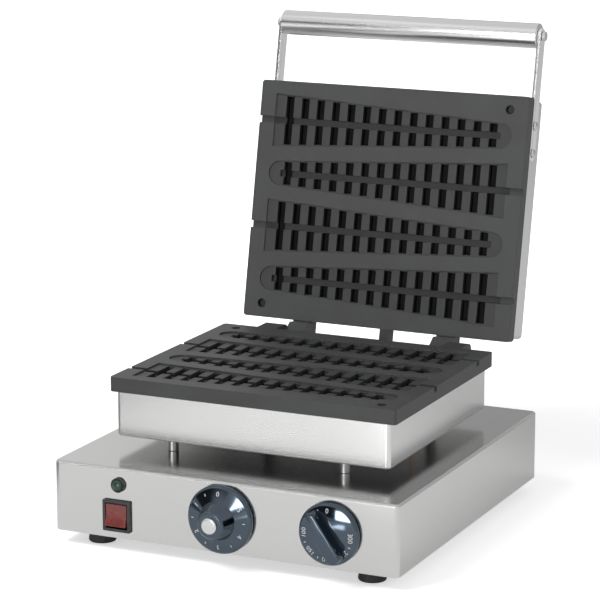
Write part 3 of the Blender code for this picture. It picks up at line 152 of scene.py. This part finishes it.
world = bpy.data.worlds.new("backdrop")
world.use_nodes = True
scene.world = world
air = Nodes(world.node_tree)
heading = air.add("ShaderNodeTexCoord", output="Generated")
upward = air.along(heading, (0, 0, 1))
forward = air.along(heading, (0, -1, 0))
aside = air.along(heading, (1, 0, 0))

# A dim room fills the front left, with a window at its right end.
room = air.between(forward, 0.10, 0.35) * (1 - air.between(aside, -0.24, -0.18))
room = room * air.band(upward, 0.00, 0.04, 0.26, 0.36)
window = air.between(forward, 0.88, 0.92) * air.band(aside, -0.24, -0.20, 0.10, 0.13)
window = window * air.band(upward, 0.00, 0.03, 0.18, 0.22)

# A pale panel hangs over the front, and the backdrop is greyer at the rear right.
panel_light = air.between(forward, 0.10, 0.30) * air.band(upward, 0.68, 0.76, 0.84, 0.92)
rear = air.between(aside, -0.50, -0.34) * (1 - air.between(forward, -0.60, -0.40))
rear = rear * (1 - air.between(upward, 0.40, 0.60))
ceiling = air.between(upward, 0.55, 0.90)
tone = 0.86 - 0.78 * room - 0.46 * rear - 0.05 * ceiling + 17.0 * window + 0.35 * panel_light
glossy = air.add("ShaderNodeLightPath", output="Is Glossy Ray")
strength = 0.42 + 0.58 * seen(air) + glossy * (tone - 1.0)
background = world.node_tree.nodes["Background"]
background.inputs["Color"].default_value = (1, 1, 1, 1)
air.join(strength, background.inputs["Strength"])

bm = bmesh.new()
bmesh.ops.create_grid(bm, x_segments=1, y_segments=1, size=12)
floor_mesh = bpy.data.meshes.new("floor")
bm.to_mesh(floor_mesh)
bm.free()
floor = bpy.data.objects.new("floor", floor_mesh)
scene.collection.objects.link(floor)
paper = bpy.data.materials.new("paper")
paper.use_nodes = True
sheet = Nodes(paper.node_tree)
spot = sheet.add("ShaderNodeTexCoord", output="Object")
left = sheet.along(spot, (-1, 0, 0))
front = sheet.along(spot, (0, -1, 0))
rear_right = sheet.between(sheet.along(spot, (0.7, 0.7, 0)), 0.0, 0.8)
# Painted shade: the paper glows less near the machine than far off.
far = sheet.add("ShaderNodeVectorMath", {"operation": "LENGTH"}, {0: spot}, "Value")
far = sheet.between(far, 0.30, 1.10)

# In the paper, metal sees a painted pool of the window's light in front and a painted dark reflection at the
# left.
mirrored = sheet.add("ShaderNodeLightPath", output="Is Glossy Ray")
painted_light_pool = sheet.band(front, 0.50, 0.58, 0.90, 1.10) * sheet.band(left, -0.12, -0.08, -0.01, 0.03)
# Painted dark reflection: a near-black patch at the left of the paper that only metal sees.
painted_dark_mask = sheet.band(left, 0.28, 0.46, 0.60, 0.80)
# Painted reflections: metal sees the paper dimmer, most far off and at the rear right, and brighter in the
# painted pool.
dimmer = 0.29 + 0.26 * rear_right + 0.34 * far - 6.0 * painted_light_pool
glow = (0.52 + 0.48 * far) * seen(sheet) - mirrored * dimmer
glow = sheet.add("ShaderNodeEmission", inputs={"Strength": glow})
matte = sheet.add("ShaderNodeBsdfDiffuse", inputs={"Color": (0.82, 0.82, 0.82, 1)})
white_paper = sheet.add("ShaderNodeAddShader", inputs={0: glow, 1: matte})
# The near-black shader of the painted dark reflection.
painted_dark_reflection = sheet.add("ShaderNodeBsdfDiffuse", inputs={"Color": (0.02, 0.02, 0.02, 1)})
shares = {0: 0.85 * mirrored * painted_dark_mask, 1: white_paper, 2: painted_dark_reflection}
both = sheet.add("ShaderNodeMixShader", inputs=shares)
sheet.join(both, paper.node_tree.nodes["Material Output"].inputs["Surface"])
floor_mesh.materials.append(paper)

machine_middle = Vector((0, 0, 0.2))


def soft_lamp(name, place, size, power):
    """A square soft lamp that looks at the middle of the machine. Metal doesn't mirror it."""
    light = bpy.data.lights.new(name, "AREA")
    light.size = size
    light.energy = power
    lamp = bpy.data.objects.new(name, light)
    aim = machine_middle - Vector(place)
    lamp.location = place
    lamp.rotation_euler = aim.to_track_quat("-Z", "Y").to_euler()
    lamp.visible_glossy = False
    scene.collection.objects.link(lamp)


soft_lamp("key", (-1.1, -1.5, 2.3), size=1.3, power=46)
soft_lamp("fill", (2.2, -0.6, 1.3), size=1.2, power=12)


# The base: one folded sheet of brushed stainless steel with rounded bends, open below with a
# flange turned in. The brush runs left to right, and front to back on the side walls.
class Finish(Nodes):
    """A procedural finish: a principled shader and the nodes that feed it."""

    def __init__(self, name, **constants):
        self.material = bpy.data.materials.new(name)
        self.material.use_nodes = True
        super().__init__(self.material.node_tree)
        self.shader = self.tree.nodes["Principled BSDF"]
        for socket, value in constants.items():
            self.shader.inputs[socket.replace("_", " ")].default_value = value

    def noise(self, scale, stretch=(1, 1, 1), detail=2.0):
        """Noise on the machine's own axes, with this many waves a metre."""
        point = self.add("ShaderNodeTexCoord", output="Object")
        point = self.add("ShaderNodeMapping", inputs={"Vector": point, "Scale": stretch})
        return self.add("ShaderNodeTexNoise", inputs={"Vector": point, "Scale": scale, "Detail": detail})

    def mixed(self, share, first, second):
        """The first colour, which turns into the second as share goes from 0 to 1."""
        first, second = (c if isinstance(c, Wire) else (*c, 1) for c in (first, second))
        return self.add("ShaderNodeMix", {"data_type": "RGBA"}, {0: share, 6: first, 7: second}, 2)

    def colour(self, share, first, second):
        self.join(self.mixed(share, first, second), self.shader.inputs["Base Color"])

    def rough(self, value):
        self.join(value, self.shader.inputs["Roughness"])

    def bump(self, height, strength, depth, edge=0.0):
        """Relief of this depth. Edge is how far its sharp edges look rounded."""
        inputs = {"Height": height, "Strength": strength, "Distance": depth}
        if edge:
            inputs["Normal"] = self.add("ShaderNodeBevel", {"samples": 6}, {"Radius": edge})
        self.join(self.add("ShaderNodeBump", inputs=inputs), self.shader.inputs["Normal"])


def brushed(name, dark, light, roughness, bent=0.0):
    """Brushed steel, streaked along X, or along Y on faces that look sideways. Bent dulls its bends."""
    finish = Finish(name, Metallic=1.0)
    long, fine = 7, 1500
    streak = finish.noise(1.0, (long, fine, fine), 3)
    side_streak = finish.noise(1.0, (fine, long, fine), 3)
    facing = finish.add("ShaderNodeTexCoord", output="Normal")
    sideways = finish.along(facing, (1, 0, 0))
    sideways = finish.between(sideways * sideways, 0.4, 0.6)
    level = finish.along(facing, (0, 0, 1))
    bend = finish.band(level * level, 0.004, 0.04, 0.90, 0.99)
    streak = streak + sideways * (side_streak - streak)
    cloud = finish.noise(7.0, detail=3)
    finish.colour(0.5 * streak + 0.5 * cloud, dark, light)
    finish.rough(roughness + 0.08 * streak + 0.05 * cloud + bent * bend)
    finish.bump(streak, 0.07, 0.00006)
    return finish


cad = frame["nodes"]


def shown(mesh, finish, node):
    """A finished piece that stands for this node and rides on the node's body."""
    mesh.materials.clear()
    mesh.materials.append(finish.material)
    piece = bpy.data.objects.new(f"{node}_piece", mesh)
    scene.collection.objects.link(piece)
    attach(piece, cad[node]["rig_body"])
    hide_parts(node)
    return piece


def smoothed(mesh, angle):
    mesh.shade_smooth()
    mesh.set_sharp_from_angle(angle=radians(angle))


def dressed(node, finish, edge=0.0, angle=32):
    """The node's own shape, its triangles joined to faces, its bends smooth and its edges broken."""
    bm = bmesh.new()
    bm.from_mesh(cad[node].data)
    bmesh.ops.remove_doubles(bm, verts=bm.verts, dist=2e-6)
    bmesh.ops.dissolve_limit(bm, angle_limit=radians(0.3), verts=bm.verts, edges=bm.edges)
    mesh = bpy.data.meshes.new(f"{node}_shape")
    bm.to_mesh(mesh)
    bm.free()
    smoothed(mesh, angle)
    piece = shown(mesh, finish, node)
    if edge:
        easing = piece.modifiers.new("edges", "BEVEL")
        easing.width = edge
        easing.segments = 2
        easing.limit_method = "ANGLE"
        easing.angle_limit = radians(angle)
    even = piece.modifiers.new("shading", "WEIGHTED_NORMAL")
    even.keep_sharp = not edge


steel = brushed("base_steel", (0.52, 0.52, 0.515), (0.62, 0.62, 0.615), roughness=0.09, bent=0.4)
dressed("base_shell", steel)

# The bottom plate: thin zinc-plated sheet, held with the feet. Its screws and the other small
# steel pieces have the same dull plating.
zinc = Finish("zinc_plate", Metallic=1.0)
spangle = zinc.noise(60.0, detail=4)
zinc.colour(spangle, (0.36, 0.37, 0.38), (0.56, 0.56, 0.55))
zinc.rough(0.32 + 0.25 * spangle)
zinc.bump(zinc.noise(900.0, detail=3), 0.15, 0.0001)


def kept(finish, *names):
    """CAD pieces that keep their own shape and take this finish."""
    for name in names:
        cad[name].material_slots[0].material = finish.material


kept(zinc, "bottom_plate")

# The feet: moulded black rubber buttons with a sunk screw. They stand under the base's corners
# and are widest near the table.
rubber = Finish("rubber")
wear = rubber.noise(220.0, detail=4)
rubber.colour(wear, (0.020, 0.020, 0.020), (0.050, 0.050, 0.049))
rubber.rough(0.62 + 0.25 * wear)
rubber.bump(rubber.noise(1600.0, detail=3), 0.3, 0.0002)
corners = ("front_left", "front_right", "rear_left", "rear_right")
gap = 0.0003
screw_radius, head_radius = 0.0020, 0.0038
screw_hole = screw_radius + gap
head_recess = head_radius + 2 * gap
foot_floor, foot_taper, foot_chamfer = 0.0025, 0.0015, 0.0007


def middle(node):
    low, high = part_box(node)
    return (low + high) / 2


def spun(profile, place, edge=0.0003, steps=72):
    """A turned shape: (radius, height) points spun round Z, its corners eased, then put in its place."""
    bm = bmesh.new()
    points = [bm.verts.new((radius, 0, height)) for radius, height in profile]
    lines = [bm.edges.new(pair) for pair in zip(points, points[1:])]
    if profile[0][0] > 0:
        lines.append(bm.edges.new((points[-1], points[0])))
    bmesh.ops.spin(
        bm, geom=points + lines, axis=(0, 0, 1), cent=(0, 0, 0), angle=2 * pi, steps=steps, use_merge=True
    )
    bmesh.ops.remove_doubles(bm, verts=bm.verts, dist=1e-6)
    bmesh.ops.recalc_face_normals(bm, faces=bm.faces)
    if edge:
        sharp = [e for e in bm.edges if e.is_manifold and e.calc_face_angle() > radians(25)]
        bmesh.ops.bevel(
            bm, geom=sharp, offset=edge, segments=3, profile=0.5,
            affect="EDGES", material=-1, clamp_overlap=True,
        )
    bmesh.ops.transform(bm, matrix=place, verts=bm.verts)
    mesh = bpy.data.meshes.new("turned")
    bm.to_mesh(mesh)
    bm.free()
    smoothed(mesh, 40)
    return mesh


for corner in corners:
    foot = f"foot_{corner}"
    low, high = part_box(foot)
    top = high.z - low.z
    radius = (high.x - low.x) / 2
    outline = [(screw_hole, top), (radius - foot_taper, top), (radius, foot_taper)]
    outline += [(radius - foot_chamfer, 0), (head_recess, 0)]
    outline += [(head_recess, top - foot_floor), (screw_hole, top - foot_floor)]
    place = Matrix.Translation((middle(foot).x, middle(foot).y, low.z))
    shown(spun(outline, place, edge=0.0005), rubber, foot)
    kept(zinc, f"foot_screw_{corner}")

# The posts: turned steel spacers between the base and the pan. Their ends are riveted over
# inside both.
bright = brushed("turned_steel", (0.30, 0.30, 0.30), (0.44, 0.44, 0.435), roughness=0.26)
for corner in corners:
    dressed(f"post_{corner}", bright)

# The pan under the lower plate: folded from brushed sheet with a lighter grain than the base,
# and closed at its corners.
pale = brushed("pan_steel", (0.63, 0.63, 0.625), (0.74, 0.74, 0.735), roughness=0.17, bent=0.2)
dressed("lower_pan", pale)

# The two cooking plates: cast aluminium with a dark non-stick coating, with painted shade that
# darkens its moulds and paints their depths black. Hinge knuckles are cast on at the rear. The
# plate screws are sunk in two corners and blackened.

# The soft limits of the moulds from the plate's middle, and the depths at which each painted shade starts.
mould_ends = (0.1235, 0.1265)
mould_sides = (0.104, 0.108)
recess_depths = (0.0008, 0.0013)
channel_depths = (0.0016, 0.0030)
pocket_depths = (0.0051, 0.0066)


def coated(name, outward, level, sideways, centre, depth_shade_dulling):
    """The coating of the plate whose face looks outward at this level, with painted shade in its moulds.
    Depth shade dulling takes the gloss from its painted black depths.
    """
    finish = Finish(name, Specular_IOR_Level=0.42)
    point = finish.add("ShaderNodeTexCoord", output="Object")
    sunk = level - finish.along(point, outward)
    across = finish.sum("ABSOLUTE", finish.along(point, sideways) - centre, 0)
    width = finish.sum("ABSOLUTE", finish.along(point, (1, 0, 0)), 0)
    inside = (1 - finish.between(width, *mould_ends)) * (1 - finish.between(across, *mould_sides))
    # Painted shade: the moulds' sunk land is darkened, and their channels and pockets are painted near black
    # and lose their gloss, as shade in them would look.
    recess = inside * finish.between(sunk, *recess_depths)
    painted_depth_shade = 0.40 * finish.between(sunk, *channel_depths) + 0.60 * finish.between(sunk, *pocket_depths)
    painted_depth_shade = inside * painted_depth_shade
    patch = finish.noise(16.0, detail=3)
    coating = finish.mixed(finish.between(patch, 0.35, 0.65), (0.045, 0.045, 0.045), (0.054, 0.058, 0.055))
    coating = finish.mixed(0.6 * recess, coating, (0.022, 0.023, 0.022))
    finish.colour(painted_depth_shade, coating, (0.004, 0.004, 0.004))
    finish.join(depth_shade_dulling * painted_depth_shade, finish.shader.inputs["Metallic"])
    finish.rough(0.40 + 0.22 * patch)
    finish.bump(finish.noise(750.0, detail=3), 0.22, 0.00022, edge=0.0005)
    return finish


joints = {joint["name"]: joint for joint in frame["record"]["behaviour"]["joints"]}
hinge = Vector(joints["lid_hinge"]["pos_m"])
lean = radians(joints["lid_hinge"]["range_deg"][1])

# How far the hinge's pins lie from the upper plate's face, and from both plates' middles.
face_to_pin = 0.0169
middle_to_pin = 0.1357
up, back = Vector((0, 0, 1)), Vector((0, 1, 0))
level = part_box("lower_plate")[1].z
centre = hinge.y - middle_to_pin
kept(coated("lower_coating", up, level, back, centre, depth_shade_dulling=0.5), "lower_plate")
open_face, open_side = Vector((0, -sin(lean), -cos(lean))), Vector((0, -cos(lean), sin(lean)))
level = open_face.dot(hinge) - face_to_pin
centre = open_side.dot(hinge) + middle_to_pin
kept(coated("upper_coating", open_face, level, open_side, centre, depth_shade_dulling=0.85), "upper_plate")
oxide = Finish("black_oxide", Metallic=1.0)
bloom = oxide.noise(300.0, detail=3)
oxide.colour(bloom, (0.020, 0.020, 0.022), (0.05, 0.05, 0.052))
oxide.rough(0.4 + 0.2 * bloom)
for plate in ("lower_plate", "upper_plate"):
    kept(oxide, f"{plate}_screw_left", f"{plate}_screw_right")

# The heating elements behind the plates, with their clamp plates: bare steel, blued by heat.
# Mineral wool fills the rest of the pan and the cover.
blued = Finish("heated_steel", Metallic=1.0)
heat = blued.noise(26.0, detail=4)
blued.colour(blued.between(heat, 0.35, 0.65), (0.30, 0.29, 0.32), (0.42, 0.36, 0.28))
blued.rough(0.38 + 0.2 * heat)
wool = Finish("mineral_wool", Roughness=0.95)
fibre = wool.noise(1.0, (300, 900, 900), 5)
wool.colour(fibre, (0.58, 0.56, 0.49), (0.82, 0.80, 0.73))
wool.bump(fibre, 0.8, 0.0008)
for side in ("lower", "upper"):
    kept(blued, f"{side}_heater", f"{side}_clamp_plate")
    kept(wool, f"{side}_insulation")
    kept(zinc, f"{side}_clamp_screw")

# The hinges' pins, driven through the plates' knuckles, and the bracket that stops the lid. It
# is screwed to the pan's rear wall.
kept(zinc, "hinge_pin_left", "hinge_pin_right", "lid_stop", "lid_stop_screw")

# The cover over the upper plate: folded brushed sheet, like the pan. It swings with the plate
# that closes it.
dressed("upper_cover", pale)

# The handle: a satin tube between two flat arms. The arms are riveted to the cover's sides, and
# a screw at each end holds the tube.
satin = brushed("satin_tube", (0.64, 0.64, 0.64), (0.74, 0.74, 0.74), roughness=0.20)
polish = Finish("chrome", Metallic=1.0)
haze = polish.noise(40.0, detail=4)
polish.colour(haze, (0.58, 0.58, 0.585), (0.68, 0.68, 0.685))
polish.rough(0.12 + 0.10 * haze)
end_screw_radius, end_wall, tube_wall = 0.0025, 0.004, 0.0012
end_hole = end_screw_radius + gap
low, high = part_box("handle_tube")
radius = (high.z - low.z) / 2
bore = radius - tube_wall
length = high.x - low.x
outline = [(end_hole, length), (radius, length), (radius, 0), (end_hole, 0), (end_hole, end_wall)]
outline += [(bore, end_wall), (bore, length - end_wall), (end_hole, length - end_wall)]
place = Matrix.Translation((low.x, middle("handle_tube").y, middle("handle_tube").z))
shown(spun(outline, place @ Matrix.Rotation(pi / 2, 4, "Y"), edge=0.0006), satin, "handle_tube")
flat_bar = brushed("arm_steel", (0.90, 0.90, 0.90), (0.96, 0.96, 0.96), roughness=0.12)
for side in ("left", "right"):
    dressed(f"handle_arm_{side}", flat_bar, 0.0004)
    dressed(f"handle_screw_{side}", polish, 0.0004)
for corner in corners:
    dressed(f"arm_rivet_{corner}", polish, 0.0003)

# The dials: plated skirts with pale numbers. The timer's has a round grip with a bright cap, the
# thermostat's a bar grip. They are pushed on the controls' shafts.
plating = Finish("dial_plating", Metallic=1.0)
depth = plating.noise(30.0, detail=3)
plating.colour(depth, (0.066, 0.086, 0.108), (0.092, 0.115, 0.142))
plating.rough(0.06 + 0.05 * depth)
enamel = Finish("pale_enamel", Roughness=0.4)
enamel.colour(enamel.noise(400.0), (0.66, 0.68, 0.70), (0.80, 0.81, 0.82))
skirt_stand, skirt_thickness, skirt_rise, skirt_rim = 0.0012, 0.0065, 0.0022, 0.0018
skirt_top = skirt_stand + skirt_thickness
shoulder = skirt_top - skirt_rise / 2
crown = skirt_top + skirt_rise
nut_radius, neck_length, shaft_radius, shaft_length = 0.0078, 0.0050, 0.0030, 0.0175
nut_recess, nut_roof = nut_radius + 2 * gap, neck_length + 2 * gap
shaft_hole, shaft_roof = shaft_radius + gap, shaft_length + gap
letter_height, letter_thickness = 0.0060, 0.0001
tick_size, tick_outward = (0.0007, 0.0022, 0.0002), 0.0010


def skirt(radius):
    """A dial's section from the foot of its slope outwards, and in again to the end of its shaft."""
    profile = [(radius - skirt_rim, shoulder), (radius, shoulder - skirt_rim), (radius, skirt_stand)]
    profile += [(nut_recess, skirt_stand), (nut_recess, nut_roof), (shaft_hole, nut_roof)]
    return profile + [(shaft_hole, shaft_roof), (0, shaft_roof)]


def numbered(name, axis, body, numbers, turn, radius, height, slope):
    """Numbers and ticks round a skirt, from the top against the clock, laid on its slope."""
    bm = bmesh.new()
    for count in range(2 * len(numbers) - 1):
        spot = axis @ Matrix.Rotation(count * turn / 2, 4, "Z") @ Matrix.Translation((0, radius, height))
        spot = spot @ Matrix.Rotation(-slope, 4, "X")
        if count % 2:
            tick = spot @ Matrix.Translation((0, tick_outward, 0)) @ Matrix.Diagonal((*tick_size, 1))
            bmesh.ops.create_cube(bm, size=1, matrix=tick)
            continue
        words = bpy.data.curves.new("number", "FONT")
        words.body = numbers[count // 2]
        words.size = letter_height
        words.extrude = letter_thickness
        words.align_x = "CENTER"
        words.align_y = "CENTER"
        words.resolution_u = 3
        letter = bpy.data.objects.new("number", words)
        scene.collection.objects.link(letter)
        bpy.context.view_layer.update()
        mesh = bpy.data.meshes.new_from_object(letter.evaluated_get(bpy.context.evaluated_depsgraph_get()))
        bpy.data.objects.remove(letter)
        mesh.transform(spot)
        bm.from_mesh(mesh)
    bmesh.ops.remove_doubles(bm, verts=bm.verts, dist=1e-6)
    mesh = bpy.data.meshes.new(name)
    bm.to_mesh(mesh)
    bm.free()
    mesh.materials.clear()
    mesh.materials.append(enamel.material)
    piece = bpy.data.objects.new(name, mesh)
    scene.collection.objects.link(piece)
    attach(piece, body)


facing_front = Matrix.Rotation(pi / 2, 4, "X")
timer_axis = Matrix.Translation(joints["timer_turn"]["pos_m"]) @ facing_front
timer_radius = 0.0305
grip_radius, grip_foot, grip_height = 0.0125, 0.017, 0.0245
outline = [(0, grip_height), (grip_radius - skirt_rim, grip_height), (grip_radius, grip_height - skirt_rim)]
outline += [(grip_foot, crown), *skirt(timer_radius)]
shown(spun(outline, timer_axis, steps=120), plating, "timer_knob")
cap_radius, cap_height = 0.0072, 0.0022
cap = [(0, cap_height), (cap_radius - cap_height / 2, cap_height), (cap_radius, cap_height / 2)]
cap += [(cap_radius, 0), (0, 0)]
cap_place = timer_axis @ Matrix.Translation((0, 0, grip_height + gap))
shown(spun(cap, cap_place), polish, "timer_cap")
slope = atan2(crown - shoulder, timer_radius - skirt_rim - grip_foot)
ring, ring_height = 0.0236, 0.0081
numbered("timer_numbers", timer_axis, "timer_dial", "012345", pi / 3, ring, ring_height, slope)

thermostat_axis = Matrix.Translation(joints["thermostat_turn"]["pos_m"]) @ facing_front
thermostat_radius, boss_radius = 0.0275, 0.0125
bar_length, bar_width, bar_foot, bar_top = 0.049, 0.012, 0.0076, 0.0225
bar_height = bar_top - bar_foot
bar_end = bar_width / 2 - 0.00005
bar_rounding = 0.0014
bar_angle = radians(-55)
bm = bmesh.new()
size = Matrix.Diagonal((bar_length, bar_width, bar_height, 1))
bmesh.ops.create_cube(bm, size=1, matrix=Matrix.Translation((0, 0, bar_top - bar_height / 2)) @ size)
upright = [e for e in bm.edges if abs(e.verts[0].co.z - e.verts[1].co.z) > bar_height / 2]
bmesh.ops.bevel(bm, geom=upright, offset=bar_end, segments=10, profile=0.5, affect="EDGES", material=-1)
rims = [e for e in bm.edges if all(v.co.z > bar_top - bar_rounding / 2 for v in e.verts)]
bmesh.ops.bevel(bm, geom=rims, offset=bar_rounding, segments=4, profile=0.5, affect="EDGES", material=-1)
bmesh.ops.transform(bm, matrix=thermostat_axis @ Matrix.Rotation(bar_angle, 4, "Z"), verts=bm.verts)
outline = [(0, crown), (boss_radius, crown), *skirt(thermostat_radius)]
knob = spun(outline, thermostat_axis, steps=120)
bm.from_mesh(knob)
bm.to_mesh(knob)
bm.free()
smoothed(knob, 40)
shown(knob, plating, "thermostat_knob")
slope = atan2(crown - shoulder, thermostat_radius - skirt_rim - boss_radius)
degrees = ("0", "50", "100", "150", "200", "250", "300")
ring, ring_height = 0.0213, 0.0079
numbered("thermostat_numbers", thermostat_axis, "thermostat_dial", degrees, pi / 4, ring, ring_height, slope)
kept(zinc, "timer_nut", "timer_shaft", "thermostat_nut", "thermostat_shaft")
case = Finish("control_case", Metallic=1.0)
dull = case.noise(120.0, detail=4)
case.colour(dull, (0.38, 0.38, 0.38), (0.52, 0.52, 0.52))
case.rough(0.42 + 0.2 * dull)
kept(case, "timer_body", "thermostat_body")

# The thermostat's bulb and its capillary: plain copper, drawn thin. The bulb lies under the
# lower element.
copper = Finish("copper", Metallic=1.0)
tarnish = copper.noise(90.0, detail=4)
copper.colour(tarnish, (0.55, 0.28, 0.16), (0.80, 0.46, 0.30))
copper.rough(0.25 + 0.3 * tarnish)
kept(copper, "thermostat_capillary")

# The switch: a black moulded bezel snapped into the panel, and a red rocker that tips on its
# pivot.
black = Finish("black_plastic")
grain = black.noise(1400.0, detail=3)
black.colour(grain, (0.018, 0.018, 0.019), (0.032, 0.032, 0.033))
black.rough(0.34 + 0.14 * grain)
black.bump(grain, 0.12, 0.0001)
red = Finish("red_plastic", Coat_Weight=0.3)
depth = red.noise(140.0, detail=2)
red.colour(depth, (0.135, 0.022, 0.018), (0.22, 0.038, 0.032))
red.rough(0.22 + 0.1 * depth)
dressed("switch_housing", black, 0.0003)
dressed("switch_rocker", red, 0.0004)

# The pilot lamp: a dark green lens in a slim black rim, pushed into the panel above the switch.
# The lens is a low dome.
glass = Finish("green_lens", Coat_Weight=0.15)
tint = glass.noise(260.0, detail=2)
glass.colour(tint, (0.007, 0.030, 0.018), (0.016, 0.056, 0.036))
glass.rough(0.26 + 0.1 * tint)
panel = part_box("base_shell")[0].y
lamp_axis = Matrix.Translation((middle("lamp_body").x, panel, middle("lamp_body").z)) @ facing_front
rim_radius, rim_wall, rim_height, rim_floor = 0.0066, 0.0012, 0.0024, 0.0008
barrel_radius, barrel_depth = 0.0046, 0.022
well_radius = rim_radius - rim_wall
rim_top, seat = rim_height + gap, rim_floor + gap
rim = [(0, seat), (well_radius, seat), (well_radius, rim_top), (rim_radius, rim_top), (rim_radius, gap)]
rim += [(barrel_radius, gap), (barrel_radius, -barrel_depth), (0, -barrel_depth)]
shown(spun(rim, lamp_axis, steps=48), black, "lamp_body")
lens_radius, lens_rise = well_radius - gap, 0.0028
dome = [(lens_radius * cos(a), rim_top + lens_rise * sin(a)) for a in map(radians, (70, 45, 20, 0))]
lens = [(0, rim_top + lens_rise), *dome, (lens_radius, seat + gap), (0, seat + gap)]
shown(spun(lens, lamp_axis, edge=0, steps=48), glass, "lamp_lens")

# The mains inlet: a black gland with its nut in the rear wall, and inside it a steatite terminal
# block on the bottom plate.
for node in ("cable_gland", "gland_nut"):
    dressed(node, black, 0.0003)
steatite = Finish("steatite", Roughness=0.6)
steatite.colour(steatite.noise(300.0, detail=3), (0.70, 0.68, 0.62), (0.80, 0.78, 0.73))
kept(steatite, "terminal_block")
